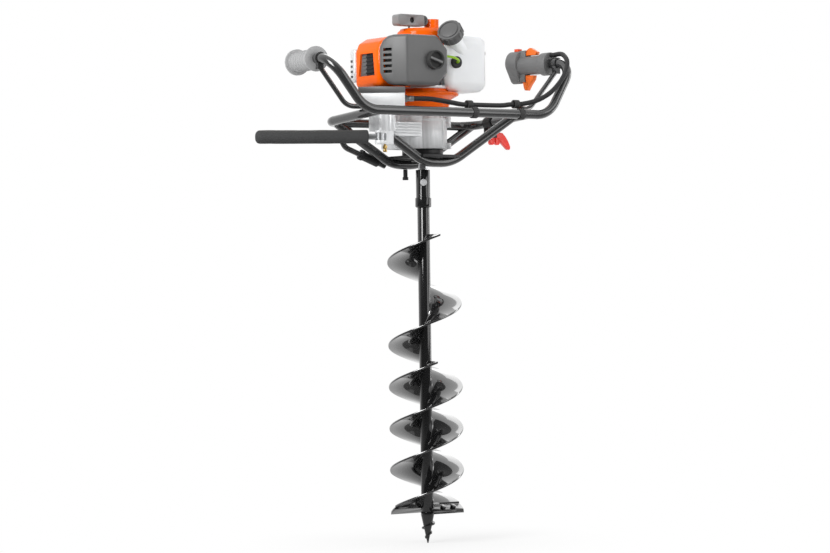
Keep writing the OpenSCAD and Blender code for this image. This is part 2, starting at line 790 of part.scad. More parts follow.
// Corners of the filter cover, which slopes back on its left and is cut off at its right
module filter_form(r) {
  low = crank_z + 10;
  high = fan_z + 16;
  places = [[-104, -93, low], [-104, -93, high], [-36, -93, low], [-36, -93, high],
    [-13, -91, low + 22], [-13, -91, high - 22], [-118, -71, low], [-118, -71, high],
    [-123, -63, low + 3], [-123, -63, high - 2], [-127.3, -56.2, low + 10], [-127.3, -56.2, high - 8],
    [-130, -52, low + 21], [-130, -52, high - 18], [-36, -52, low], [-36, -52, high],
    [-10, -52, low + 18], [-10, -52, high - 16]];
  hull() for (p = places) translate(p) sphere(r = r, $fn = 28);
}

module filter_cover() {
  r = 9;
  slot_at = [-136.9, -57.9];
  slot_turn = -57.6;
  color("#7d8083") difference() {
    filter_form(r);
    filter_form(r - cover_wall);
    block([-150, shroud_y[0] - 2, crank_z], [20, 0, 2 * crank_z]);
    translate([0, 0, crank_z]) cylinder(r = case_plate_r + 0.6, h = 2 * crankcase_h);
    translate(knob_at) rotate([-90, 0, 0]) cylinder(r = 4 + move_gap, h = 12, center = true);
    for (k = [0 : 4])
      translate([slot_at[0], slot_at[1], crank_z + 26 + 11 * k])
        rotate([0, 0, slot_turn]) translate([0, -12, 0]) cube([18.5, 24, 6]);
  }
}

module filter_knob() {
  knob_h = 11;
  bar = 7;
  color("#1d1e20") translate(knob_at + [0, -move_gap, 0]) rotate([90, 0, 0]) {
    difference() {
      cylinder(r = knob_r, h = knob_h);
      translate([0, 0, knob_h - 6]) difference() {
        cylinder(r = knob_r - 3, h = 7);
        rotate([0, 0, -18]) translate([-knob_r, -bar / 2, -1]) cube([2 * knob_r, bar, 9]);
      }
    }
    translate([0, 0, -14]) cylinder(r = 4, h = 15);
  }
}

module carburettor() {
  color("#9a9c9e") difference() {
    block([-58, -80, crank_z + 24], [-24, -30, crank_z + 60]);
    translate([0, 0, crank_z]) cylinder(r = crank_body_r + seat_gap, h = crankcase_h);
    translate([-41, -70, crank_z + 42]) rotate([90, 0, 0]) cylinder(r = 9, h = 30, center = true);
  }
}

module fuel_tank() {
  wall = 4;
  core_cut = case_plate_r + 0.4;
  neck_root = 58;
  bore_root = 40;
  color("#e9ebea") difference() {
    union() {
      soft_box(tank_lo, tank_hi, tank_r);
      along(cap_at, cap_dir) translate([0, 0, -neck_root])
        cylinder(r = neck_r, h = neck_root + cap_h - 6);
    }
    translate([0, 0, crank_z - 9]) cylinder(r = core_cut, h = 2 * crankcase_h);
    difference() {
      soft_box(tank_lo + [wall, wall, wall], tank_hi - [wall, wall, wall], tank_r - wall);
      translate([0, 0, crank_z - 9]) cylinder(r = core_cut + wall, h = 2 * crankcase_h);
    }
    along(cap_at, cap_dir) translate([0, 0, -bore_root])
      cylinder(r = neck_r - wall, h = bore_root + 2 * cap_h);
    for (p = [[grommet_at, [0, -1, 0], 6], [vent_at, [1, 0, 0], 6]])
      along(p[0], p[1]) cylinder(r = p[2], h = 30, center = true);
  }
}

grommet_at = [38, tank_lo[1], crank_z + 53];
vent_at = [tank_hi[0], -36, crank_z + 76];

module fuel_cap() {
  ribs = 16;
  inner = neck_r + move_gap;
  color("#8f9295") along(cap_at, cap_dir) translate([0, 0, 2]) difference() {
    union() {
      cylinder(r = cap_r - 1.5, h = cap_h);
      for (k = [0 : ribs - 1]) rotate([0, 0, 360 * k / ribs])
        translate([cap_r - 3, -2, 2]) cube([3, 4, cap_h - 4]);
    }
    translate([0, 0, -1]) cylinder(r = inner, h = cap_h - 6);
    translate([0, 0, cap_h - 2]) ring(cap_r - 5, cap_r - 8, 3);
  }
}

module tank_grommets() {
  color("#18191b") {
    along(grommet_at, [0, -1, 0]) {
      difference() {
        translate([0, 0, -7]) cylinder(r = 6 - seat_gap, h = 8);
        translate([0, 0, -9]) cylinder(r = 2.5 + seat_gap, h = 20);
      }
      translate([0, 0, seat_gap]) ring(12, 2.5 + seat_gap, 6);
    }
    along(vent_at, [1, 0, 0]) {
      translate([0, 0, -7]) cylinder(r = 6 - seat_gap, h = 8);
      translate([0, 0, seat_gap]) cylinder(r = 9, h = 7);
    }
  }
}

module fuel_line() {
  g = grommet_at;
  route = [g + [0, 8, 0], g + [0, -7, 0], g + [0, -9, 0], g + [-3, -15, 2], g + [-10, -19, 5],
    g + [-20, -20, 8], g + [-40, -20, 10]];
  color("#8fc220") cord(route, 2.5, 8);
}

// Frame tubes

// One half of the handlebar, from the middle to the end inside a grip
function bar_half_path(side, s) = [
  [side * bar_half, bar_front, bar_z],
  grip_point(side, -62),
  grip_point(side, s)];
bar_path = concat(
  [for (i = [2 : -1 : 0]) bar_half_path(-1, grip_l - 10)[i]],
  bar_half_path(1, throttle_l - 50));
bar_bends = [48, 60, 60, 48];
hoop_path = [[hoop_left, bar_front, bar_z], [hoop_left, hoop_y, hoop_z],
  [hoop_right, hoop_y, hoop_z], [hoop_right, bar_front, bar_z]];
hoop_bends = [30, 40];
loop_rise = (hoop_z - loop_z) / 0.6;
rear_path = [[-loop_half - loop_rise, hoop_y, hoop_z], [-loop_half, hoop_y, loop_z],
  [loop_half, hoop_y, loop_z], [loop_half + loop_rise, hoop_y, hoop_z]];
front_path = [[-140, loop_y, 843], [-loop_half, loop_y, loop_z], [loop_half, loop_y, loop_z],
  [hoop_right - 4, -80, side_z(-80)]];

module handlebar() {
  color("#4b4d50") bent_tube(bar_path, bar_bends, tube_r, tube_wall);
}

module rear_hoop() {
  color("#4b4d50") difference() {
    bent_tube(hoop_path, hoop_bends, tube_r, tube_wall);
    bent_bar(bar_path, bar_bends, tube_r + seat_gap);
    block([hoop_left - 20, bar_front - 40, 0], [hoop_right + 20, bar_front, 2 * hoop_z]);
  }
}

module front_loop() {
  color("#4b4d50") difference() {
    bent_tube(front_path, loop_bends, tube_r, tube_wall);
    bent_bar(hoop_path, hoop_bends, tube_r + seat_gap);
    block([-200, -100, 700], [foot_hi[0] + seat_gap, 0, 900]);
    block(arm_lo - [0, 6, seat_gap], arm_hi + [0, 6, 20]);
  }
}

module rear_loop() {
  color("#4b4d50") difference() {
    bent_tube(rear_path, loop_bends, tube_r, tube_wall);
    bent_bar(hoop_path, hoop_bends, tube_r + seat_gap);
    block([-300, 0, hoop_z], [300, 100, 1000]);
  }
}

// Stay from below each grip to the top of the rear hoop, with a clamp round the handlebar
module stay_rods() {
  clamp_l = 12;
  color("#a7aaac") {
    for (side = [-1, 1]) {
      foot_y = side < 0 ? -66 : -104;
      lug = side_z(foot_y) + tube_r + stay_d / 2 + 1;
      foot_x = side < 0 ? hoop_left : hoop_right;
      reach = side < 0 ? 24 : 4;
      top = grip_point(side, -14, -16);
      bent_bar([top, [foot_x + side * 30, foot_y + 10, lug], [foot_x - side * reach, foot_y, lug]],
        [36], stay_d / 2);
      difference() {
        along(grip_point(side, -20), grip_point(side, 0) - grip_point(side, -20)) {
          cylinder(r = tube_r + 2.5, h = clamp_l);
          translate([4, -6, 0]) cube([18, 12, clamp_l]);
        }
        bent_bar(bar_path, bar_bends, tube_r + seat_gap);
      }
    }
  }
}

module base_plate() {
  plate_z = loop_z + tube_r + 0.3;
  color("#2a2b2d") difference() {
    block([-46, loop_y - 14, plate_z], [46, hoop_y + 14, carrier_z - seat_gap]);
    translate([0, 0, loop_z]) cylinder(r = out_bearing_r + 4, h = 60);
    bent_bar(front_path, loop_bends, tube_r + move_gap);
    bent_bar(rear_path, loop_bends, tube_r + move_gap);
    for (x = [-34, 34], y = [-30, 30])
      translate([x, y, loop_z]) cylinder(r = 3.3, h = 60);
  }
}

// Casting that carries the brake box and the hip bar
foot_lo = [-146, -64, 812];
foot_hi = [-118, -40, 838];
post_top = clutch_z + 25;
arm_lo = [-120, -58, 829];
arm_hi = [-44, -32, 857];

module frame_post() {
  fins = 5;
  color("#b7babc") {
    difference() {
      union() {
        block(foot_lo, foot_hi);
        translate([post_at[0], post_at[1], foot_hi[2] - fine]) rotate([0, 0, post_turn]) {
          cylinder(r = 17, h = post_top - foot_hi[2]);
          for (x = [-18, 18]) translate([x, 0, 0]) cylinder(r = 9, h = post_top - foot_hi[2]);
        }
        block(arm_lo, arm_hi - [0, 4, 0]);
        for (k = [0 : fins - 1])
          block([arm_lo[0] + 8, arm_lo[1] - 4, arm_lo[2] + 1 + 6 * k],
            [arm_hi[0] - 2, arm_lo[1] + 1, arm_lo[2] + 4 + 6 * k]);
        translate(hip_pivot + [0, 0, -14]) cylinder(r = 10, h = 26);
      }
      translate([0, 0, case_z]) cylinder(r = case_r + 0.1, h = case_h);
      translate([lay_x, 0, case_z - 1])
        cylinder(r = lay_case_r + case_wall + seat_gap, h = case_h + 2);
      translate(hip_pivot + [0, 0, -7 - move_gap]) cylinder(r = 16, h = 14 + 2 * move_gap);
    }
    translate(hip_pivot + [0, 0, -10]) cylinder(r = 4, h = 20);
  }
}

module box_frame() {
  translate([post_at[0], post_at[1], 0]) rotate([0, 0, post_turn]) children();
}

module brake_box() {
  color("#c3c5c6") box_frame() difference() {
    block([-46, -23, post_top + seat_gap], [46, 23, post_top + 27]);
    block([-42, -19, post_top + 4], [42, 19, post_top + 30]);
    translate([40, 0, post_top + 16]) rotate([0, 90, 0]) cylinder(r = 3.2, h = 10);
  }
}

module brake_lid() {
  color("#3b3d40") box_frame() {
    block([-47, -24, post_top + 27 + seat_gap], [47, 24, post_top + 39]);
    for (x = [-36, 36]) translate([x, 0, post_top + 38.9]) cylinder(r = 5, h = 1.6);
  }
}

// Adjuster that hangs from the hip bar casting
module brake_link() {
  color("#b08d3c") translate([foot_lo[0] + 12, foot_lo[1] + 8, 0]) {
    translate([0, 0, foot_lo[2] - 14]) cylinder(r = 2.5, h = 14);
    translate([0, 0, foot_lo[2] - 9]) cylinder(r = 5, h = 6, $fn = 6);
    translate([0, 0, foot_lo[2] - 16]) cylinder(r = 4, h = 5);
  }
}

// Thin folding rest beside the rear loop
rest_r = 6;
rest_y = hoop_y + tube_r + rest_r + 2.2;
rest_path = [[-40, rest_y, loop_z - 2], [-140, rest_y, loop_z + 35], [-152, rest_y, loop_z + 62],
  [-126, rest_y, loop_z + 74]];

module leg_rest() {
  color("#a7aaac") bent_bar(rest_path, [24, 12], rest_r);
}

module rubber_sleeves() {
  sleeve_l = 46;
  d = unit(rest_path[1] - rest_path[0]);
  stub_l = 18;
  color("#161718") {
    along(rest_path[0] + 19 * d, d) difference() {
      union() {
        cylinder(r = rest_r + 3.5, h = sleeve_l);
        translate([0, 0, sleeve_l - 6]) cylinder(r = rest_r + 5, h = 6);
      }
      translate([0, 0, -1]) cylinder(r = rest_r + 3 * seat_gap, h = sleeve_l + 2);
      translate([-20, rest_r + 1.8, -1]) cube([40, 20, sleeve_l + 2]);
    }
    translate([0, hoop_y, loop_z - tube_r - stub_l]) cylinder(r = 4.5, h = stub_l - 0.3);
    translate([0, hoop_y, loop_z - tube_r - stub_l - 4]) cylinder(r = 6, h = 6);
  }
}

// Grips and controls

module left_grip() {
  rim = 5;
  ribs = 7;
  color("#8e9092") difference() {
    along(grip_point(-1, 0), grip_point(-1, 1) - grip_point(-1, 0)) {
      cylinder(r = flange_r, h = rim);
      cylinder(r = grip_r, h = grip_l);
      for (k = [1 : ribs])
        translate([0, 0, rim + k * (grip_l - 2 * rim) / (ribs + 1) - 1.5])
          cylinder(r = grip_r + 0.8, h = 3);
      translate([0, 0, grip_l - rim]) cylinder(r = flange_r + 1, h = rim);
    }
    along(grip_point(-1, -1), grip_point(-1, 1) - grip_point(-1, 0))
      cylinder(r = tube_r + seat_gap, h = grip_l - 9);
  }
}

// Stands children along the throttle grip, X down and Z away from the handlebar
module throttle_frame() {
  along(grip_point(1, 0), grip_point(1, 1) - grip_point(1, 0)) children();
}

head_s = 78;
lever_pin = [25, head_s - 3];
lock_pin = [-24, head_s - 7];
lever_w = 12;

module throttle_housing() {
  collar = 20;
  head_r = 26;
  head_up = 6;
  chin = 24;
  chin_r = 13;
  color("#54575a") throttle_frame() difference() {
    union() {
      cylinder(r = throttle_r + 4, h = collar);
      cylinder(r = throttle_r, h = throttle_l - 4);
      hull() {
        translate([-head_up, 0, head_s]) cylinder(r = head_r, h = throttle_l - head_s - 4);
        translate([-head_up, 0, head_s]) cylinder(r = head_r - 4, h = throttle_l - head_s);
        translate([chin, 0, head_s + 3]) cylinder(r = chin_r, h = throttle_l - head_s - 9);
      }
      translate([12, -9, head_s - 12]) cube([22, 18, 14]);
      translate([-32, -9, head_s - 14]) cube([20, 18, 16]);
    }
    translate([0, 0, -1]) cylinder(r = tube_r + seat_gap, h = throttle_l - 49);
    translate([throttle_r - 5, -lever_w / 2 - move_gap, head_s - 36])
      cube([40, lever_w + 2 * move_gap, 36 + 6]);
    translate([-60 - throttle_r + 5, -lever_w / 2 - move_gap, head_s - 44])
      cube([60, lever_w + 2 * move_gap, 44 + 3]);
    translate([-head_r - head_up - 6, -6 - move_gap, head_s + 8 - move_gap])
      cube([14, 12 + 2 * move_gap, 20 + 2 * move_gap]);
    for (p = [lever_pin, lock_pin])
      translate([p[0], 0, p[1]]) rotate([90, 0, 0]) cylinder(r = 2, h = 60, center = true);
  }
  color("#54575a") throttle_frame() for (p = [lever_pin, lock_pin])
    translate([p[0], 0, p[1]]) rotate([90, 0, 0]) cylinder(r = 2, h = 18, center = true);
}

// Lever of one thickness, from its outline and its pin
module pinned_lever(outline, pin, boss_r) {
  throttle_frame() translate([0, lever_w / 2, 0]) rotate([90, 0, 0]) difference() {
    union() {
      translate(pin) cylinder(r = boss_r, h = lever_w);
      linear_extrude(lever_w) polygon(outline);
    }
    translate([pin[0], pin[1], -1]) cylinder(r = 2 + run_fit, h = lever_w + 2);
  }
}

module throttle_trigger() {
  outline = [lever_pin + [-3, 1], lever_pin + [3.6, 1], [47, head_s - 6], [52, head_s - 9],
    [52.5, head_s - 13], [41, head_s - 21], [30, head_s - 31], [throttle_r + 1.2, head_s - 33],
    [throttle_r + 1, head_s - 12]];
  color("#f0691d") pinned_lever(outline, lever_pin, 5);
}

module trigger_lock() {
  outline = [lock_pin + [-4, 0], lock_pin + [3, 1], [-throttle_r - 1.2, head_s - 40],
    [-throttle_r - 7, head_s - 42], [-37, head_s - 24]];
  color("#f0691d") pinned_lever(outline, lock_pin, 4.6);
}

module stop_switch() {
  color("#e8431f") throttle_frame()
    block([-37, -6, head_s + 8], [-28, 6, head_s + 20]);
}

clip_at = [[36, -112, 892], [156, -112, 896]];

// End of the cable at the brake box
function box_point(x) =
  [post_at[0] + x * cos(post_turn), post_at[1] + x * sin(post_turn), post_top + 16];

module throttle_cable() {
  g = grip_point(1, 0);
  route = [grip_point(1, -0.3, 18), grip_point(1, -10, 18), grip_point(1, -24, 19),
    g + [2.5, -37.5, 16], g + [-5, -58, 4], g + [-15, -70.5, -13], g + [-29, -76, -33],
    g + [-46, -76.5, -52], g + [-67, -72, -70.5], g + [-93, -64, -84],
    clip_at[1] + [14, 0, 0.8], clip_at[1] - [14, 0, 0.8], [115, -112, 892.5],
    clip_at[0] + [16, 0, 0], clip_at[0] - [16, 0, 0], [-5, -111, 895], [-31, -106, 899],
    [-54, -99, 902], box_point(64), box_point(46.3)];
  color("#1a1b1c") cord(route, 5, 10, [0.6, -0.55, 0.6]);
}

// Point on the right side of the rear hoop
function hoop_side(y) = [hoop_right, y, side_z(y)];
lever_t = 14;
lever_pin_r = 3;

// Clips that tie the cable to the handlebar, and the clamp that carries the brake lever
module tube_clips() {
  clip_w = 12;
  clamp_w = 24;
  cheek = (clamp_w - lever_t) / 2 - move_gap;
  color("#1a1b1c") {
    for (c = clip_at) difference() {
      union() {
        translate([c[0] - clip_w / 2, bar_front, bar_z]) rotate([0, 90, 0])
          cylinder(r = tube_r + 2, h = clip_w);
        translate(c - [clip_w / 2, 0, 0]) rotate([0, 90, 0]) cylinder(r = 9, h = clip_w);
      }
      translate([c[0] - clip_w, bar_front, bar_z]) rotate([0, 90, 0])
        cylinder(r = tube_r + seat_gap, h = 2 * clip_w);
      translate(c - [clip_w, 0, 0]) rotate([0, 90, 0]) cylinder(r = 6, h = 2 * clip_w);
    }
    difference() {
      union() {
        along(hoop_side(clamp_w / 2), hoop_side(-1) - hoop_side(0)) cylinder(r = tube_r + 3, h = clamp_w);
        for (y = [-clamp_w / 2, clamp_w / 2 - cheek])
          translate([hoop_right - 8, y, lever_at[2] - 8]) cube([16, cheek, 30]);
      }
      along(hoop_side(clamp_w), hoop_side(-1) - hoop_side(0))
        cylinder(r = tube_r + seat_gap, h = 2 * clamp_w);
      block([hoop_right - 20, -lever_t / 2 - move_gap, lever_at[2] - 9],
        [hoop_right + 20, lever_t / 2 + move_gap, lever_at[2] + 9 + move_gap]);
    }
    translate(lever_at + [0, clamp_w / 2, 0]) rotate([90, 0, 0]) cylinder(r = lever_pin_r, h = clamp_w);
  }
}

// Stands children in the plane of the brake lever, X along the lever
module lever_frame() {
  translate(lever_at) rotate([90, 0, 0]) children();
}

module brake_lever() {
  hub_r = 9;
  lobe_r = 5.5;
  lever_drop = 35;
  web = lever_t - 4;
  tip = lever_l * [cos(lever_drop), -sin(lever_drop)];
  finger = [[0, hub_r - 1], [8.6, 4.5], [12.8, 3.3], [18, 3.6], [28, 3], tip + [-10, 27.6],
    tip + [-3, 18], tip + [2.2, 7], tip + [2.4, 2.8], tip, tip + [-3.6, 1.6], tip + [-12, 9.1],
    [25, -15.4], [18, -hub_r + 1], [0, -hub_r + 1]];
  color("#d4232b") lever_frame() difference() {
    union() {
      translate([0, 0, -lever_t / 2]) cylinder(r = hub_r, h = lever_t);
      translate([0, 0, -web / 2]) linear_extrude(web) polygon(finger);
      for (x = [2, 16.5]) translate([x, -17, -web / 2 + 1]) {
        cylinder(r = lobe_r, h = web - 2);
        translate([-lobe_r + 0.5, 0, 0]) cube([2 * lobe_r - 1, 15, web - 2]);
      }
    }
    cylinder(r = lever_pin_r + run_fit, h = 2 * lever_t, center = true);
  }
}

hip_r = 6;

// Hip bar, whose eye turns between the plates of the casting
module hip_frame() {
  translate(hip_pivot) rotate([0, 0, hip_turn]) children();
}

module hip_rod() {
  color("#b9bbbd") hip_frame() difference() {
    union() {
      translate([0, 0, -7]) cylinder(r = 9, h = 14);
      rotate([0, 90, 0]) cylinder(r = hip_r, h = foam_at + foam_l - 10);
    }
    translate([0, 0, -8]) cylinder(r = 4 + run_fit, h = 16);
  }
}

module hip_foam() {
  color("#3f4143") hip_frame() rotate([0, 90, 0]) translate([0, 0, foam_at]) difference() {
    union() {
      cylinder(r = foam_d / 2, h = foam_l - 8);
      translate([0, 0, foam_l - 8]) cylinder(r1 = foam_d / 2, r2 = foam_d / 2 - 6, h = 8);
    }
    translate([0, 0, -1]) cylinder(r = hip_r + seat_gap, h = foam_l - 9 + seat_gap);
  }
}

core_rod();
bit_socket();
flight_long();
flight_short();
pilot_screw();
cutter_blades();
cutter_bolts();
drive_pin();
output_shaft();
output_gear();
lay_shaft();
lay_gear();
clutch_drum();
crankshaft();
clutch_shoes();
flywheel();
seal_carrier();
gearbox_case();
clutch_housing();
gear_bearings();
gearbox_screws();
clutch_cover();
crankcase();
engine_cylinder();
cylinder_cover();
vent_insert();
muffler();
fan_housing();
starter_pulley();
starter_handle();
starter_rope();
filter_cover();
filter_knob();
carburettor();
fuel_tank();
fuel_cap();
tank_grommets();
fuel_line();
handlebar();
rear_hoop();
front_loop();
rear_loop();
stay_rods();
base_plate();
frame_post();
brake_box();
brake_lid();
brake_link();
leg_rest();
rubber_sleeves();
left_grip();
throttle_housing();
throttle_trigger();
trigger_lock();
stop_switch();
throttle_cable();
tube_clips();
brake_lever();
hip_rod();
hip_foam();
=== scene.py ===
"""Looks of a petrol earth auger: finishes for its solids, its foam bar, fittings and a studio."""

import json
import math

import bmesh
import bpy
from mathutils import Euler, Matrix, Vector, noise


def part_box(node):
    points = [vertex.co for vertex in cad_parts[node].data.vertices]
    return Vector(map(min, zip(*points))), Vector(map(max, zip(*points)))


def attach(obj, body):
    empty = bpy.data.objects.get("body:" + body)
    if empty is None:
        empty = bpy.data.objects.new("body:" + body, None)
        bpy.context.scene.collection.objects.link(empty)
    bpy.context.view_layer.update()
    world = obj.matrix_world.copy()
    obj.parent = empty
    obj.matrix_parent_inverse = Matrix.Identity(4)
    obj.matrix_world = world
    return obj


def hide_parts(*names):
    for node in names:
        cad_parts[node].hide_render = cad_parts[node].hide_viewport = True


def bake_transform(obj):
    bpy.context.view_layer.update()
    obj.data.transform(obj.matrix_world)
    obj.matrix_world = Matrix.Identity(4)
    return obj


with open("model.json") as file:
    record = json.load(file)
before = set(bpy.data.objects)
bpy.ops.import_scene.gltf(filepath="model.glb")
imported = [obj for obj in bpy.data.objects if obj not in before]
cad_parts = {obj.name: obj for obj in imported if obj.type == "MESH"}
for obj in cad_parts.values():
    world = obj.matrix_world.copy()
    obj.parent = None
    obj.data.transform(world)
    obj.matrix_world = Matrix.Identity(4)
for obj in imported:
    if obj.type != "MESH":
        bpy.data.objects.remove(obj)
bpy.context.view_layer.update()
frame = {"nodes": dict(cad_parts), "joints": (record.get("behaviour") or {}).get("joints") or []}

bl_info = {
    "name": "Earth Auger Looks",
    "version": (1, 0, 0),
    "blender": (4, 5, 0),
    "location": "View3D > Sidebar > Auger",
    "description": "Dresses the solids of a petrol earth auger and lights them in a studio",
    "category": "Object",
}

NODES = frame["nodes"]
MM = 0.001

SHARP_ANGLE = math.radians(38)  # edges that turn further stay sharp or are rounded
WELD_GAP = 0.02 * MM
HIP_TURN = math.radians(25)  # the hip bar's slant from the X axis, seen from above
BOX_TURN = math.radians(-36)  # direction in which the cable leaves the brake box
DUST_TONE = (0.42, 0.39, 0.35, 1)
DUST_SCALE = 70.0
PATCH_SCALE = 40.0
GRAIN_DEPTH = 0.3 * MM
PALE_SIDE = (0.5, 0.69, 0.52)  # side on which reflections see the surround pale
DIM_LEVEL, PALE_LEVEL = 0.1, 0.95


class AugerColours(bpy.types.PropertyGroup):
    """Colours of the auger's finishes."""

    cover_orange: bpy.props.FloatVectorProperty(
        name="Cover orange", description="Moulded engine covers", subtype="COLOR",
        size=3, min=0, max=1, default=(0.92, 0.128, 0.003))
    control_orange: bpy.props.FloatVectorProperty(
        name="Control orange", description="Trigger and its lock", subtype="COLOR",
        size=3, min=0, max=1, default=(0.88, 0.16, 0.012))
    filter_grey: bpy.props.FloatVectorProperty(
        name="Filter grey", description="Air filter cover", subtype="COLOR",
        size=3, min=0, max=1, default=(0.104, 0.1045, 0.105))
    grip_grey: bpy.props.FloatVectorProperty(
        name="Grip grey", description="Rubber of the left grip", subtype="COLOR",
        size=3, min=0, max=1, default=(0.34, 0.342, 0.345))
    tube_grey: bpy.props.FloatVectorProperty(
        name="Tube grey", description="Powder coat of the frame tubes", subtype="COLOR",
        size=3, min=0, max=1, default=(0.023, 0.0234, 0.0238))
    bit_black: bpy.props.FloatVectorProperty(
        name="Bit black", description="Gloss paint of the bit", subtype="COLOR",
        size=3, min=0, max=1, default=(0.009, 0.009, 0.0095))
    tank_white: bpy.props.FloatVectorProperty(
        name="Tank white", description="Milky plastic of the tank", subtype="COLOR",
        size=3, min=0, max=1, default=(0.93, 0.95, 0.97))
    lever_red: bpy.props.FloatVectorProperty(
        name="Lever red", description="Brake lever", subtype="COLOR",
        size=3, min=0, max=1, default=(0.93, 0.045, 0.03))
    hose_lime: bpy.props.FloatVectorProperty(
        name="Hose lime", description="Fuel line", subtype="COLOR",
        size=3, min=0, max=1, default=(0.3, 0.56, 0.015))


class AugerSizes(bpy.types.PropertyGroup):
    """Sizes of the pieces that are added to the solids."""

    edge: bpy.props.FloatProperty(
        name="Edge", description="Rounding of moulded and cast edges", unit="LENGTH",
        default=1.0 * MM, min=0.1 * MM, max=3 * MM)
    fine_edge: bpy.props.FloatProperty(
        name="Fine edge", description="Rounding of machined edges", unit="LENGTH",
        default=0.4 * MM, min=0.1 * MM, max=2 * MM)
    screw_r: bpy.props.FloatProperty(
        name="Screw", description="Radius of a cover screw's head", unit="LENGTH",
        default=4.2 * MM, min=2 * MM, max=8 * MM)
    flight_pitch: bpy.props.FloatProperty(
        name="Flight pitch", description="Rise of a flight in one turn", unit="LENGTH",
        default=170 * MM, min=50 * MM, max=300 * MM)
    flight_start: bpy.props.FloatProperty(
        name="Flight start", description="Direction of the long flight's lower end",
        subtype="ANGLE", default=math.radians(174))
    bead: bpy.props.FloatProperty(
        name="Weld bead", description="Leg of the weld between a flight and the core",
        unit="LENGTH", default=2.6 * MM, min=0, max=6 * MM)
    foam_swell: bpy.props.FloatProperty(
        name="Foam swell", description="How far the foam bulges between its dents", unit="LENGTH",
        default=0.9 * MM, min=0, max=3 * MM)


class AugerStage(bpy.types.PropertyGroup):
    """Camera and lights."""

    camera_at: bpy.props.FloatVectorProperty(
        name="Camera", description="Place of the camera", subtype="TRANSLATION",
        size=3, default=(-3.2247, -4.4061, 0.546))
    heading: bpy.props.FloatProperty(
        name="Heading", description="Turn of the view from the Y axis towards the X axis",
        subtype="ANGLE", default=math.radians(36))
    roll: bpy.props.FloatProperty(
        name="Roll", description="Clockwise tilt of the camera", subtype="ANGLE",
        default=math.radians(0.79))
    lens: bpy.props.FloatProperty(
        name="Lens", description="Focal length on a 36 mm sensor", default=115.6, min=10)
    sky: bpy.props.FloatProperty(
        name="Sky", description="Strength of the even light", default=0.55, min=0)


# Node groups

def new_group(name, inputs, outputs):
    """Shader group with named float or colour sockets, its input and its output node."""
    group = bpy.data.node_groups.new(name, "ShaderNodeTree")
    for label, kind, value in inputs:
        socket = group.interface.new_socket(label, in_out="INPUT", socket_type=kind)
        socket.default_value = value
    for label, kind in outputs:
        group.interface.new_socket(label, in_out="OUTPUT", socket_type=kind)
    return group, group.nodes.new("NodeGroupInput"), group.nodes.new("NodeGroupOutput")


def surface_noise(group, entry, detail, stretch=None):
    """Noise over the piece's own coordinates, at the group's Scale."""
    coords = group.nodes.new("ShaderNodeTexCoord")
    texture = group.nodes.new("ShaderNodeTexNoise")
    texture.inputs["Detail"].default_value = detail
    group.links.new(entry.outputs["Scale"], texture.inputs["Scale"])
    source = coords.outputs["Object"]
    if stretch:
        mapping = group.nodes.new("ShaderNodeMapping")
        mapping.inputs["Scale"].default_value = stretch
        group.links.new(source, mapping.inputs["Vector"])
        source = mapping.outputs["Vector"]
    group.links.new(source, texture.inputs["Vector"])
    return texture


def spread_about(group, entry, factor, middle):
    """Value that drifts about the middle socket by the group's Spread."""
    centred = group.nodes.new("ShaderNodeMath")
    centred.operation = "SUBTRACT"
    centred.inputs[1].default_value = 0.5
    group.links.new(factor, centred.inputs[0])
    scaled = group.nodes.new("ShaderNodeMath")
    scaled.operation = "MULTIPLY_ADD"
    group.links.new(centred.outputs[0], scaled.inputs[0])
    group.links.new(entry.outputs["Spread"], scaled.inputs[1])
    if isinstance(middle, float):
        scaled.inputs[2].default_value = middle
    else:
        group.links.new(middle, scaled.inputs[2])
    return scaled.outputs[0]


def make_tone_drift():
    """Colour that drifts a little lighter and darker over a piece."""
    group, entry, leave = new_group(
        "Tone Drift",
        [("Colour", "NodeSocketColor", (0.5, 0.5, 0.5, 1)), ("Scale", "NodeSocketFloat", 20.0),
         ("Spread", "NodeSocketFloat", 0.2)],
        [("Colour", "NodeSocketColor")])
    texture = surface_noise(group, entry, 5.0)
    value = spread_about(group, entry, texture.outputs["Fac"], 1.0)
    tone = group.nodes.new("ShaderNodeHueSaturation")
    group.links.new(entry.outputs["Colour"], tone.inputs["Color"])
    group.links.new(value, tone.inputs["Value"])
    group.links.new(tone.outputs["Color"], leave.inputs["Colour"])
    return group


def make_rough_patches():
    """Roughness that drifts about its base, as handled surfaces have."""
    group, entry, leave = new_group(
        "Rough Patches",
        [("Base", "NodeSocketFloat", 0.4), ("Scale", "NodeSocketFloat", 30.0),
         ("Spread", "NodeSocketFloat", 0.2)],
        [("Roughness", "NodeSocketFloat")])
    texture = surface_noise(group, entry, 6.0)
    value = spread_about(group, entry, texture.outputs["Fac"], entry.outputs["Base"])
    group.links.new(value, leave.inputs["Roughness"])
    return group


def make_grain():
    """Height of a fine grain, such as sand casting or spark-eroded moulds."""
    group, entry, leave = new_group(
        "Surface Grain",
        [("Scale", "NodeSocketFloat", 900.0), ("Spread", "NodeSocketFloat", 1.0)],
        [("Height", "NodeSocketFloat")])
    texture = surface_noise(group, entry, 3.0)
    value = spread_about(group, entry, texture.outputs["Fac"], 0.5)
    group.links.new(value, leave.inputs["Height"])
    return group


def make_turned_lines():
    """Height of the fine rings that turning leaves along an upright axis."""
    group, entry, leave = new_group(
        "Turned Lines",
        [("Scale", "NodeSocketFloat", 30.0), ("Spread", "NodeSocketFloat", 1.0)],
        [("Height", "NodeSocketFloat")])
    texture = surface_noise(group, entry, 2.0, stretch=(0.2, 0.2, 60.0))
    value = spread_about(group, entry, texture.outputs["Fac"], 0.5)
    group.links.new(value, leave.inputs["Height"])
    return group


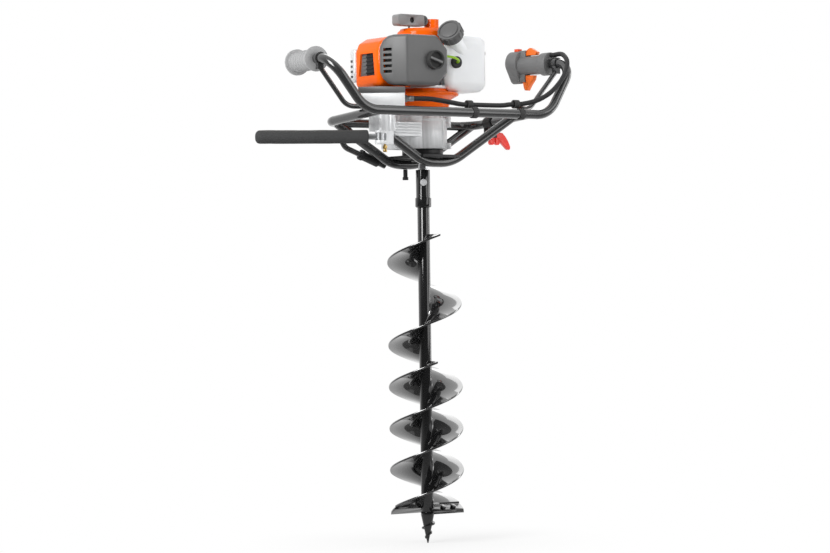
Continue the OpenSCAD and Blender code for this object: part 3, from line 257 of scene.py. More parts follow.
def make_settled_dust():
    """Mask of the thin dust that settles on what faces up."""
    group, entry, leave = new_group(
        "Settled Dust",
        [("Scale", "NodeSocketFloat", 60.0), ("Spread", "NodeSocketFloat", 0.3)],
        [("Mask", "NodeSocketFloat")])
    texture = surface_noise(group, entry, 6.0)
    geometry = group.nodes.new("ShaderNodeNewGeometry")
    split = group.nodes.new("ShaderNodeSeparateXYZ")
    group.links.new(geometry.outputs["Normal"], split.inputs[0])
    facing = group.nodes.new("ShaderNodeMapRange")
    facing.inputs["From Min"].default_value = 0.55
    facing.inputs["From Max"].default_value = 1.0
    group.links.new(split.outputs["Z"], facing.inputs["Value"])
    patch = group.nodes.new("ShaderNodeMath")
    patch.operation = "MULTIPLY"
    group.links.new(facing.outputs["Result"], patch.inputs[0])
    group.links.new(texture.outputs["Fac"], patch.inputs[1])
    amount = group.nodes.new("ShaderNodeMath")
    amount.operation = "MULTIPLY"
    group.links.new(patch.outputs[0], amount.inputs[0])
    group.links.new(entry.outputs["Spread"], amount.inputs[1])
    group.links.new(amount.outputs[0], leave.inputs["Mask"])
    return group


GROUP_MAKERS = {
    "Tone Drift": make_tone_drift,
    "Rough Patches": make_rough_patches,
    "Surface Grain": make_grain,
    "Turned Lines": make_turned_lines,
    "Settled Dust": make_settled_dust,
}


def place_group(tree, name, **values):
    """One use of a shared group in a material, with its own values."""
    group = bpy.data.node_groups.get(name) or GROUP_MAKERS[name]()
    node = tree.nodes.new("ShaderNodeGroup")
    node.node_tree = group
    for label, value in values.items():
        node.inputs[label].default_value = value
    return node


# Materials

def finish_material(name, colour, rough, metal=0.0, drift=0.15, drift_scale=25.0,
                    rough_spread=0.15, grain=0.08, grain_scale=1200.0, relief="Surface Grain",
                    coat=0.0, coat_rough=0.08, dust=0.12, specular=0.5):
    """Principled finish with drifting tone, patchy roughness, a fine relief and settled dust."""
    found = bpy.data.materials.get(name)
    if found:
        return found
    material = bpy.data.materials.new(name)
    material.use_nodes = True
    tree = material.node_tree
    shader = tree.nodes["Principled BSDF"]
    shader.inputs["Metallic"].default_value = metal
    shader.inputs["Coat Weight"].default_value = coat
    shader.inputs["Coat Roughness"].default_value = coat_rough
    shader.inputs["Specular IOR Level"].default_value = specular
    tone = place_group(tree, "Tone Drift", Colour=(*colour, 1), Scale=drift_scale, Spread=drift)
    patch = place_group(tree, "Rough Patches", Base=rough, Scale=PATCH_SCALE, Spread=rough_spread)
    settled = place_group(tree, "Settled Dust", Scale=DUST_SCALE, Spread=dust)
    dusty = tree.nodes.new("ShaderNodeMix")
    dusty.data_type = "RGBA"
    dusty.inputs["B"].default_value = DUST_TONE
    tree.links.new(settled.outputs["Mask"], dusty.inputs["Factor"])
    tree.links.new(tone.outputs["Colour"], dusty.inputs["A"])
    tree.links.new(dusty.outputs["Result"], shader.inputs["Base Color"])
    tree.links.new(patch.outputs["Roughness"], shader.inputs["Roughness"])
    height = place_group(tree, relief, Scale=grain_scale)
    bump = tree.nodes.new("ShaderNodeBump")
    bump.inputs["Strength"].default_value = grain
    bump.inputs["Distance"].default_value = GRAIN_DEPTH
    tree.links.new(height.outputs["Height"], bump.inputs["Height"])
    tree.links.new(bump.outputs["Normal"], shader.inputs["Normal"])
    return material


def bit_paint(colours):
    """Gloss black paint of the bit."""
    return finish_material("bit_gloss_black", tuple(colours.bit_black), 0.12, drift=0.3,
                           rough_spread=0.06, grain=0.003, grain_scale=300.0, coat=0.4, dust=0.0)


def flight_paint(colours):
    """The bit's black paint under a thicker, harder gloss."""
    material = finish_material("flight_gloss_black", tuple(colours.bit_black), 0.1, drift=0.3,
                               rough_spread=0.06, grain=0.002, grain_scale=300.0, coat=1.0,
                               coat_rough=0.04, dust=0.0)
    shader = material.node_tree.nodes["Principled BSDF"]
    shader.inputs["IOR"].default_value = 1.75
    shader.inputs["Coat IOR"].default_value = 1.75
    return material


def tube_paint(colours):
    """Dark powder coat under a clear gloss."""
    return finish_material("tube_powder_coat", tuple(colours.tube_grey), 0.2, drift=0.25,
                           rough_spread=0.1, grain=0.03, grain_scale=1500.0, coat=0.9,
                           coat_rough=0.05, dust=0.02)


def cast_alloy(_):
    """Light alloy, cast in sand."""
    return finish_material("cast_alloy", (0.78, 0.79, 0.8), 0.44, metal=0.3, drift=0.2,
                           drift_scale=60.0, rough_spread=0.25, grain=0.35, grain_scale=900.0)


def black_casting(_):
    """Casting painted black."""
    return finish_material("black_casting", (0.016, 0.016, 0.017), 0.45, drift=0.3,
                           grain=0.3, grain_scale=900.0, dust=0.06)


def turned_steel(_):
    """Bright steel with fine turning rings."""
    return finish_material("turned_steel", (0.66, 0.67, 0.68), 0.24, metal=1.0, drift=0.15,
                           rough_spread=0.15, grain=0.25, grain_scale=30.0, relief="Turned Lines")


def gear_steel(_):
    """Oiled steel of the gears."""
    return finish_material("gear_steel", (0.4, 0.405, 0.41), 0.35, metal=1.0, drift=0.25)


def zinc_plate(_):
    """Steel plated with zinc."""
    return finish_material("zinc_plate", (0.5, 0.51, 0.52), 0.36, metal=0.9, drift=0.25,
                           drift_scale=90.0, rough_spread=0.25, grain=0.06)


def guard_plate(_):
    """Pale satin plate of the muffler guard."""
    return finish_material("guard_plate", (0.7, 0.71, 0.72), 0.38, metal=0.35, drift=0.15,
                           drift_scale=50.0, grain=0.05)


def cover_plastic(colours):
    """Glossy orange plastic of the engine covers."""
    return finish_material("cover_orange", tuple(colours.cover_orange), 0.15, drift=0.08,
                           rough_spread=0.08, grain=0.03, grain_scale=700.0, dust=0.0,
                           specular=0.2)


def control_plastic(colours):
    """Orange plastic of the trigger and its lock."""
    return finish_material("control_orange", tuple(colours.control_orange), 0.32, drift=0.1,
                           grain=0.06, dust=0.03)


def filter_plastic(colours):
    """Grained grey plastic of the filter cover."""
    return finish_material("filter_grey", tuple(colours.filter_grey), 0.42, drift=0.12,
                           rough_spread=0.12, grain=0.16, grain_scale=1600.0, dust=0.08)


def housing_plastic(colours):
    """Grey plastic of the throttle housing, paler than the filter cover's."""
    paler = 1.55
    tone = tuple(paler * value for value in colours.filter_grey)
    return finish_material("housing_grey", tone, 0.5, drift=0.15, grain=0.2,
                           grain_scale=1600.0, dust=0.05)


def dark_plastic(_):
    """Black moulded plastic."""
    return finish_material("dark_plastic", (0.018, 0.018, 0.02), 0.45, drift=0.25, grain=0.16,
                           grain_scale=1500.0, dust=0.05)


def soft_rubber(_):
    """Matt black rubber."""
    return finish_material("soft_rubber", (0.014, 0.014, 0.015), 0.6, drift=0.3, grain=0.2,
                           grain_scale=1100.0, dust=0.08)


def grip_rubber(colours):
    """Pale grey rubber of the left grip."""
    return finish_material("grip_rubber", tuple(colours.grip_grey), 0.42, drift=0.15, grain=0.2,
                           grain_scale=1000.0, dust=0.04)


def red_plastic(colours):
    """Red plastic of the brake lever."""
    return finish_material("lever_red", tuple(colours.lever_red), 0.32, drift=0.1, grain=0.06,
                           coat=0.2, dust=0.03)


def switch_plastic(_):
    """Red plastic of the stop switch."""
    return finish_material("switch_red", (0.78, 0.05, 0.015), 0.35, drift=0.1, grain=0.05,
                           dust=0.02)


def hose_plastic(colours):
    """Lime plastic of the fuel line."""
    return finish_material("hose_lime", tuple(colours.hose_lime), 0.3, drift=0.2, grain=0.03,
                           dust=0.02)


def brass_plain(_):
    """Plain brass."""
    return finish_material("brass_plain", (0.6, 0.4, 0.14), 0.32, metal=1.0, drift=0.25)


def rope_braid(_):
    """Braid of the starter rope."""
    return finish_material("rope_braid", (0.72, 0.7, 0.62), 0.8, drift=0.4, drift_scale=900.0,
                           grain=0.6, grain_scale=1400.0)


def foam_skin(_):
    """Matt foam with fine pores."""
    return finish_material("foam_skin", (0.044, 0.0445, 0.045), 0.82, drift=0.4, drift_scale=300.0,
                           grain=0.55, grain_scale=1300.0, dust=0.12, specular=0.3)


def tank_plastic(colours):
    """Milky plastic that lets a little light into its wall."""
    material = finish_material("tank_milky", tuple(colours.tank_white), 0.34, drift=0.08,
                               rough_spread=0.12, grain=0.05, grain_scale=500.0, dust=0.03)
    shader = material.node_tree.nodes["Principled BSDF"]
    shader.inputs["Subsurface Weight"].default_value = 0.25
    shader.inputs["Subsurface Radius"].default_value = (0.01, 0.01, 0.009)
    return material


def tint_beyond(material, axis, level, colour):
    """Gives a material another colour beyond a level along one of the piece's axes."""
    tree = material.node_tree
    if "Tint" in tree.nodes:
        return material
    shader = tree.nodes["Principled BSDF"]
    source = shader.inputs["Base Color"].links[0].from_socket
    coords = tree.nodes.new("ShaderNodeTexCoord")
    split = tree.nodes.new("ShaderNodeSeparateXYZ")
    tree.links.new(coords.outputs["Object"], split.inputs[0])
    beyond = tree.nodes.new("ShaderNodeMath")
    beyond.operation = "GREATER_THAN"
    beyond.inputs[1].default_value = level
    tree.links.new(split.outputs[axis], beyond.inputs[0])
    tint = tree.nodes.new("ShaderNodeMix")
    tint.name = "Tint"
    tint.data_type = "RGBA"
    tint.inputs["B"].default_value = (*colour, 1)
    tree.links.new(beyond.outputs[0], tint.inputs["Factor"])
    tree.links.new(source, tint.inputs["A"])
    tree.links.new(tint.outputs["Result"], shader.inputs["Base Color"])
    return material


def handle_plastic(_):
    """Grey handle whose far end is a black moulding."""
    grey_share = 0.86
    low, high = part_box("starter_handle")
    material = finish_material("handle_grey", (0.23, 0.231, 0.233), 0.4, drift=0.1, grain=0.12)
    return tint_beyond(material, "X", low.x + grey_share * (high.x - low.x), (0.012, 0.012, 0.013))


def vent_painted_light(_):
    """Dark vent with a paler strip along its left side: the dark is painted shade in its opening,
    the strip is painted light on its lit wall.
    """
    painted_shade_share = 0.6
    low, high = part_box("vent_insert")
    material = finish_material("vent_painted_shade_and_light", (0.014, 0.014, 0.015), 0.5, drift=0.2, grain=0.12,
                               dust=0.0, specular=0.25)
    # painted light: the paler tint stands for the lit wall, and the dark rest for the shade in the
    # opening
    return tint_beyond(material, "Y", low.y + painted_shade_share * (high.y - low.y), (0.13, 0.13, 0.131))


# Dressing of solids and mesh tools

def dress(names, material, edge):
    """Gives CAD nodes a finish, smooth shading and slightly rounded edges."""
    for name in names:
        node = NODES[name]
        node.data.materials.clear()
        node.data.materials.append(material)
        node.data.shade_smooth()
        weld = node.modifiers.new("Weld", "WELD")
        weld.merge_threshold = WELD_GAP
        if edge:
            bevel = node.modifiers.new("Bevel", "BEVEL")
            bevel.width = edge
            bevel.segments = 2
            bevel.limit_method = "ANGLE"
            bevel.angle_limit = SHARP_ANGLE
            bevel.harden_normals = True
        else:
            split = node.modifiers.new("Split", "EDGE_SPLIT")
            split.split_angle = SHARP_ANGLE


def new_piece(name, mesh_maker, material, body):
    """Object from a bmesh, riding on a body if one is given."""
    shape = bmesh.new()
    mesh_maker(shape)
    bmesh.ops.recalc_face_normals(shape, faces=shape.faces)
    mesh = bpy.data.meshes.new(name)
    shape.to_mesh(mesh)
    shape.free()
    piece = bpy.data.objects.new(name, mesh)
    bpy.context.scene.collection.objects.link(piece)
    mesh.materials.append(material)
    mesh.shade_smooth()
    mesh.set_sharp_from_angle(angle=SHARP_ANGLE)
    if body:
        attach(piece, body)
    return piece


def turn_profile(shape, profile, place, sides=32):
    """Closed solid of revolution from (radius, height) points, placed by a matrix."""
    rings = []
    for radius, height in profile:
        if radius < 1e-9:
            rings.append([shape.verts.new(place @ Vector((0, 0, height)))])
            continue
        rings.append([
            shape.verts.new(place @ Vector((radius * math.cos(math.tau * k / sides),
                                            radius * math.sin(math.tau * k / sides), height)))
            for k in range(sides)])
    for lower, upper in zip(rings, rings[1:]):
        for k in range(sides):
            ring = [lower[k % len(lower)], lower[(k + 1) % len(lower)],
                    upper[(k + 1) % len(upper)], upper[k % len(upper)]]
            corners = list(dict.fromkeys(ring))
            if len(corners) > 2:
                shape.faces.new(corners)


def soft_block(shape, span, edge):
    """Block about the origin with rounded edges."""
    bmesh.ops.create_cube(shape, size=1)
    bmesh.ops.scale(shape, vec=span, verts=shape.verts)
    bmesh.ops.bevel(shape, geom=shape.edges[:], offset=edge, segments=3, affect="EDGES")


def facing(at, direction):
    """Matrix that stands Z along a direction at a place."""
    turn = Vector(direction).to_track_quat("Z", "Y").to_matrix().to_4x4()
    return Matrix.Translation(Vector(at)) @ turn


def screw_head(shape, at, direction, radius):
    """Pan head with a hexagon recess, standing on a surface."""
    tall = 0.62 * radius
    well = 0.5 * radius
    profile = [(0, -0.3 * radius), (0.9 * radius, -0.3 * radius), (radius, 0),
               (radius, 0.55 * tall), (0.93 * radius, 0.85 * tall), (0.8 * radius, tall),
               (well, tall), (well, 0.4 * tall), (0, 0.4 * tall)]
    turn_profile(shape, profile, facing(at, direction), sides=24)


# Operators

class AUGER_OT_stage(bpy.types.Operator):
    """Makes the camera, the lights, the floor and the pale surround"""

    bl_idname = "auger.stage"
    bl_label = "Studio"

    def execute(self, context):
        settings = context.scene.auger_stage
        self.make_camera(context, settings)
        self.make_lights(context)
        self.make_floor(context)
        self.make_world(context, settings)
        context.scene.view_settings.view_transform = "Standard"
        return {"FINISHED"}

    def make_camera(self, context, settings):
        data = bpy.data.cameras.new("Camera")
        data.sensor_fit = "HORIZONTAL"
        data.sensor_width = 36
        data.lens = settings.lens
        data.clip_end = 60
        camera = bpy.data.objects.new("Camera", data)
        context.scene.collection.objects.link(camera)
        level = Euler((math.radians(90), 0, -settings.heading)).to_matrix().to_4x4()
        tilt = Matrix.Rotation(-settings.roll, 4, "Z")
        camera.matrix_world = Matrix.Translation(Vector(settings.camera_at)) @ level @ tilt
        context.scene.camera = camera

    def make_lights(self, context):
        aim = Vector((0, 0, 0.75))
        lamps = [("Key", (-3.0, -0.8, 2.4), 1.4, 2.1, 115),
                 ("Fill", (1.4, -3.0, 1.6), 1.8, 2.7, 32),
                 ("Rim", (2.2, 2.4, 2.4), 1.4, 2.1, 12),
                 ("Side", (2.9, -0.7, 0.9), 0.5, 2.2, 16)]
        for name, at, width, height, power in lamps:
            data = bpy.data.lights.new(name, "AREA")
            data.shape = "RECTANGLE"
            data.size = width
            data.size_y = height
            data.energy = power
            lamp = bpy.data.objects.new(name, data)
            context.scene.collection.objects.link(lamp)
            lamp.matrix_world = facing(at, Vector(at) - aim)

    def make_floor(self, context):
        reach = 30
        mesh = bpy.data.meshes.new("floor")
        corners = [(-reach, -reach, 0), (reach, -reach, 0), (reach, reach, 0), (-reach, reach, 0)]
        mesh.from_pydata(corners, [], [(0, 1, 2, 3)])
        floor = bpy.data.objects.new("floor", mesh)
        floor.location.z = -0.5 * MM
        context.scene.collection.objects.link(floor)
        material = bpy.data.materials.new("floor_pale")
        material.use_nodes = True
        tree = material.node_tree
        shader = tree.nodes["Principled BSDF"]
        shader.inputs["Base Color"].default_value = (0.85, 0.85, 0.85, 1)
        shader.inputs["Roughness"].default_value = 0.9
        glow = tree.nodes.new("ShaderNodeEmission")
        tree.links.new(self.seen_level(tree, "Object", 0.9), glow.inputs["Strength"])
        mix = tree.nodes.new("ShaderNodeMixShader")
        tree.links.new(self.pale_share(tree), mix.inputs[0])
        tree.links.new(shader.outputs[0], mix.inputs[1])
        tree.links.new(glow.outputs[0], mix.inputs[2])
        tree.links.new(mix.outputs[0], tree.nodes["Material Output"].inputs["Surface"])
        mesh.materials.append(material)

    def seen_rays(self, tree):
        """1 for the rays that show the surround, 0 for those that light the object."""
        path = tree.nodes.new("ShaderNodeLightPath")
        total = path.outputs["Is Camera Ray"]
        for label in ("Is Glossy Ray", "Is Transmission Ray"):
            add = tree.nodes.new("ShaderNodeMath")
            add.operation = "MAXIMUM"
            tree.links.new(total, add.inputs[0])
            tree.links.new(path.outputs[label], add.inputs[1])
            total = add.outputs[0]
        return total

    def pale_share(self, tree):
        """How much of the floor is plain white: all of it but for the ground about the tip."""
        coords = tree.nodes.new("ShaderNodeTexCoord")
        distance = tree.nodes.new("ShaderNodeVectorMath")
        distance.operation = "LENGTH"
        tree.links.new(coords.outputs["Object"], distance.inputs[0])
        fade = tree.nodes.new("ShaderNodeMapRange")
        fade.interpolation_type = "SMOOTHSTEP"
        shade_from, shade_to, least = 0.02, 0.45, 0.72
        fade.inputs["From Min"].default_value = shade_from
        fade.inputs["From Max"].default_value = shade_to
        fade.inputs["To Min"].default_value = least
        tree.links.new(distance.outputs["Value"], fade.inputs["Value"])
        share = tree.nodes.new("ShaderNodeMath")
        share.operation = "MULTIPLY"
        tree.links.new(self.seen_rays(tree), share.inputs[0])
        tree.links.new(fade.outputs["Result"], share.inputs[1])
        return share.outputs[0]

    def seen_level(self, tree, place, reach):
        """Brightness of the surround: full for the camera, shaded in reflections.

        Reflections see it pale behind and above the object and darker in front.
        """
        coords = tree.nodes.new("ShaderNodeTexCoord")
        along = tree.nodes.new("ShaderNodeVectorMath")
        along.operation = "DOT_PRODUCT"
        along.inputs[1].default_value = PALE_SIDE
        tree.links.new(coords.outputs[place], along.inputs[0])
        shade = tree.nodes.new("ShaderNodeMapRange")
        shade.interpolation_type = "SMOOTHSTEP"
        shade.inputs["From Min"].default_value = -reach
        shade.inputs["From Max"].default_value = reach
        shade.inputs["To Min"].default_value = DIM_LEVEL
        shade.inputs["To Max"].default_value = PALE_LEVEL
        tree.links.new(along.outputs["Value"], shade.inputs["Value"])
        path = tree.nodes.new("ShaderNodeLightPath")
        level = tree.nodes.new("ShaderNodeMath")
        level.operation = "MAXIMUM"
        tree.links.new(path.outputs["Is Camera Ray"], level.inputs[0])
        tree.links.new(shade.outputs["Result"], level.inputs[1])
        return level.outputs[0]

    def make_world(self, context, settings):
        world = context.scene.world or bpy.data.worlds.new("World")
        context.scene.world = world
        world.use_nodes = True
        tree = world.node_tree
        tree.nodes.clear()
        leave = tree.nodes.new("ShaderNodeOutputWorld")
        light = tree.nodes.new("ShaderNodeBackground")
        light.inputs["Strength"].default_value = settings.sky
        seen = tree.nodes.new("ShaderNodeBackground")
        seen.inputs["Color"].default_value = (1, 1, 1, 1)
        tree.links.new(self.seen_level(tree, "Generated", 0.5), seen.inputs["Strength"])
        mix = tree.nodes.new("ShaderNodeMixShader")
        tree.links.new(self.seen_rays(tree), mix.inputs[0])
        tree.links.new(light.outputs[0], mix.inputs[1])
        tree.links.new(seen.outputs[0], mix.inputs[2])
        tree.links.new(mix.outputs[0], leave.inputs["Surface"])


class AUGER_OT_bit(bpy.types.Operator):
    """Paints the bit and polishes its shaft and pin"""

    bl_idname = "auger.bit"
    bl_label = "Bit"
    steps_per_turn = 100

    def execute(self, context):
        colours, sizes = context.scene.auger_colours, context.scene.auger_sizes
        dress(["core_rod", "bit_socket", "pilot_screw", "cutter_blades", "cutter_bolts"],
              bit_paint(colours), sizes.fine_edge)
        dress(["output_shaft"], turned_steel(colours), sizes.fine_edge)
        dress(["drive_pin"], guard_plate(colours), sizes.fine_edge)
        self.flight("flight_long", sizes.flight_start, colours, sizes)
        self.flight("flight_short", sizes.flight_start + math.pi, colours, sizes)
        return {"FINISHED"}

    def flight(self, node, start, colours, sizes):
        """Smooth flight with a rounded rim and a weld bead along the core."""
        low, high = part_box(node)
        core = 0.5 * (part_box("core_rod")[1].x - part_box("core_rod")[0].x)
        rim = max(high.x, high.y, -low.x, -low.y)
        thick = self.thickness(node)
        turns = (high.z - low.z - thick) / sizes.flight_pitch
        steps = math.ceil(self.steps_per_turn * turns)

        def shape_flight(shape):
            outline = self.outline(core, rim, thick, sizes.bead)
            rings = []
            for i in range(steps + 1):
                share = i / steps
                angle = start + math.tau * turns * share
                lift = low.z + sizes.flight_pitch * turns * share
                rings.append([shape.verts.new((r * math.cos(angle), r * math.sin(angle), lift + z))
                              for r, z in outline])
            count = len(outline)
            for lower, upper in zip(rings, rings[1:]):
                for k in range(count):
                    after = (k + 1) % count
                    shape.faces.new((lower[k], lower[after], upper[after], upper[k]))
            shape.faces.new(rings[0])
            shape.faces.new(rings[-1])

        piece = new_piece(node + "_smooth", shape_flight, flight_paint(colours), "bit")
        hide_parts(node)

    def thickness(self, node):
        """Height of the flight's plate, from the two levels at its lower end."""
        levels = sorted({round(vert.co.z, 6) for vert in NODES[node].data.vertices})
        foot = [vert.co for vert in NODES[node].data.vertices if vert.co.z - levels[0] < 1e-6]
        return min(vert.co.z - levels[0] for vert in NODES[node].data.vertices
                   if vert.co.z - levels[0] > 1e-4 and (vert.co.xy - foot[0].xy).length < 1e-4)

    def outline(self, core, rim, thick, bead):
        """Radius and height round the flight's section, with its bead and its rounded rim."""
        inner = core + 0.05 * MM
        rim_round, rim_shoulder, parts = 0.8 * MM, 0.25 * MM, 8
        width = rim - rim_round - core - bead
        flat = [core + bead + width * k / parts for k in range(parts + 1)]
        lower = [(inner, 0.0)] + [(r, 0.0) for r in flat]
        shoulder = rim - rim_shoulder
        edge = [(shoulder, 0.2 * thick), (rim, 0.5 * thick), (shoulder, 0.8 * thick)]
        upper = [(r, thick) for r in reversed(flat)]
        fillet = [(core + 0.5 * bead, thick + 0.3 * bead), (inner, thick + 0.9 * bead)]
        return lower + edge + upper + fillet


class AUGER_OT_gearbox(bpy.types.Operator):
    """Finishes the castings, the gears and the shafts of the gearbox"""

    bl_idname = "auger.gearbox"
    bl_label = "Gearbox"

    def execute(self, context):
        colours, sizes = context.scene.auger_colours, context.scene.auger_sizes
        dress(["gearbox_case", "clutch_housing", "crankcase", "engine_cylinder", "carburettor",
               "flywheel", "frame_post", "brake_box"], cast_alloy(colours), sizes.edge)
        dress(["seal_carrier", "base_plate"], black_casting(colours), sizes.edge)
        dress(["gearbox_screws", "gear_bearings"], zinc_plate(colours), sizes.fine_edge)
        dress(["output_gear", "lay_shaft", "lay_gear", "clutch_drum", "crankshaft", "clutch_shoes"],
              gear_steel(colours), 0)
        return {"FINISHED"}


class AUGER_OT_engine(bpy.types.Operator):
    """Finishes the engine's covers, starter, filter and muffler"""

    bl_idname = "auger.engine"
    bl_label = "Engine"

    def execute(self, context):
        colours, sizes = context.scene.auger_colours, context.scene.auger_sizes
        dress(["clutch_cover", "fan_housing"], cover_plastic(colours), sizes.edge)
        dress(["cylinder_cover"], cover_plastic(colours), 0)
        dress(["filter_cover"], filter_plastic(colours), 0)
        # the vent's colours hold painted shade and a painted lit strip
        dress(["vent_insert"], vent_painted_light(colours), sizes.fine_edge)
        dress(["starter_pulley", "filter_knob"], dark_plastic(colours), sizes.fine_edge)
        dress(["muffler"], guard_plate(colours), 0)
        dress(["starter_handle"], handle_plastic(colours), sizes.edge)
        return {"FINISHED"}


class AUGER_OT_rope(bpy.types.Operator):
    """Makes the starter rope between its guide and the handle"""

    bl_idname = "auger.rope"
    bl_label = "Starter rope"

    def execute(self, context):
        low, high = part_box("starter_rope")
        middle = (low + high) / 2
        radius = 0.5 * (high.x - low.x)
        guide = low.z + 1.5 * MM
        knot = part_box("starter_handle")[0].z + 0.5 * MM
        steps = 16

        def shape_rope(shape):
            gap = [guide + (knot - guide) * k / steps for k in range(steps + 1)]
            side = [(radius, z) for z in (low.z, *gap, high.z)]
            profile = [(0, low.z), *side, (0, high.z)]
            turn_profile(shape, profile, Matrix.Translation((middle.x, middle.y, 0)), sides=16)

        rope = new_piece("starter_rope_paid_out", shape_rope,
                         rope_braid(context.scene.auger_colours), None)
        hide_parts("starter_rope")
        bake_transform(rope)
        return {"FINISHED"}


class AUGER_OT_fuel(bpy.types.Operator):
    """Finishes the tank, its cap, its grommets and the fuel line"""

    bl_idname = "auger.fuel"
    bl_label = "Fuel tank"

    def execute(self, context):
        colours, sizes = context.scene.auger_colours, context.scene.auger_sizes
        dress(["fuel_tank"], tank_plastic(colours), 0)
        dress(["fuel_cap"], filter_plastic(colours), sizes.edge)
        dress(["tank_grommets"], soft_rubber(colours), sizes.edge)
        dress(["fuel_line"], hose_plastic(colours), 0)
        return {"FINISHED"}


class AUGER_OT_frame(bpy.types.Operator):
    """Finishes the tubes, rods, sleeves and links of the frame"""

    bl_idname = "auger.frame"
    bl_label = "Frame"

    def execute(self, context):
        colours, sizes = context.scene.auger_colours, context.scene.auger_sizes
        dress(["handlebar", "rear_hoop", "front_loop", "rear_loop", "stay_rods", "leg_rest"],
              tube_paint(colours), 0)
        dress(["hip_rod"], zinc_plate(colours), 0)
        dress(["rubber_sleeves"], soft_rubber(colours), sizes.edge)
        dress(["brake_lid"], filter_plastic(colours), sizes.edge)
        dress(["brake_link"], brass_plain(colours), sizes.fine_edge)
        dress(["tube_clips"], dark_plastic(colours), sizes.fine_edge)
        dress(["brake_lever"], red_plastic(colours), sizes.edge)
        return {"FINISHED"}


class AUGER_OT_controls(bpy.types.Operator):
    """Finishes the grips, the trigger, its lock, the switch and the cable"""

    bl_idname = "auger.controls"
    bl_label = "Controls"

    def execute(self, context):
        colours, sizes = context.scene.auger_colours, context.scene.auger_sizes
        dress(["left_grip"], grip_rubber(colours), sizes.edge)
        dress(["throttle_housing"], housing_plastic(colours), sizes.edge)
        dress(["throttle_trigger", "trigger_lock"], control_plastic(colours), sizes.edge)
        dress(["stop_switch"], switch_plastic(colours), sizes.edge)
        dress(["throttle_cable"], soft_rubber(colours), 0)
        return {"FINISHED"}


class AUGER_OT_foam(bpy.types.Operator):
    """Makes the foam of the hip bar, with its soft dents and rounded end"""

    bl_idname = "auger.foam"
    bl_label = "Hip bar foam"

    def execute(self, context):
        sizes = context.scene.auger_sizes
        joint = next(j for j in frame["joints"] if j["name"] == "hip_swing")
        pivot = Vector(joint["pos_m"])
        low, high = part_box("hip_foam")
        along = Vector((-math.cos(HIP_TURN), math.sin(HIP_TURN), 0))
        depths = [(vert.co - pivot).dot(along) for vert in NODES["hip_foam"].data.vertices]
        radius = 0.5 * (high.z - low.z)

        def shape_foam(shape):
            profile = self.outline(radius, min(depths), max(depths))
            turn_profile(shape, profile, facing(pivot, along), sides=40)
            for vert in shape.verts:
                depth = (vert.co - pivot).dot(along)
                out = vert.co - pivot - along * depth
                if out.length > 0.6 * radius:
                    broad, fine = noise.noise(vert.co * 28), noise.noise(vert.co * 75)
                    dent = broad + 0.5 * fine
                    vert.co -= out.normalized() * sizes.foam_swell * (0.6 + 0.5 * dent)

        foam = new_piece("hip_foam_soft", shape_foam, foam_skin(context.scene.auger_colours),
                         "hip")
        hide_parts("hip_foam")
        return {"FINISHED"}

    def outline(self, radius, start, reach):
        """Radius and depth along the foam: bore, near rim, side, round end and a dimple."""
        bore, rim, end, steps = 6.2 * MM, 3 * MM, 9 * MM, 46
        side = reach - start - end - 5 * MM
        profile = [(bore, start)]
        profile += [(radius - rim + rim * math.sin(a), start + rim - rim * math.cos(a))
                    for a in (0, 0.4, 0.8, 1.2, 1.57)]
        profile += [(radius, start + 4 * MM + side * k / steps) for k in range(1, steps + 1)]
        profile += [(radius - end + end * math.cos(a), reach - end + end * math.sin(a))
                    for a in (0.25, 0.5, 0.8, 1.1, 1.4, 1.57)]
        profile += [(3 * MM, reach), (2.6 * MM, reach - 3 * MM), (0, reach - 3.2 * MM)]
        return profile


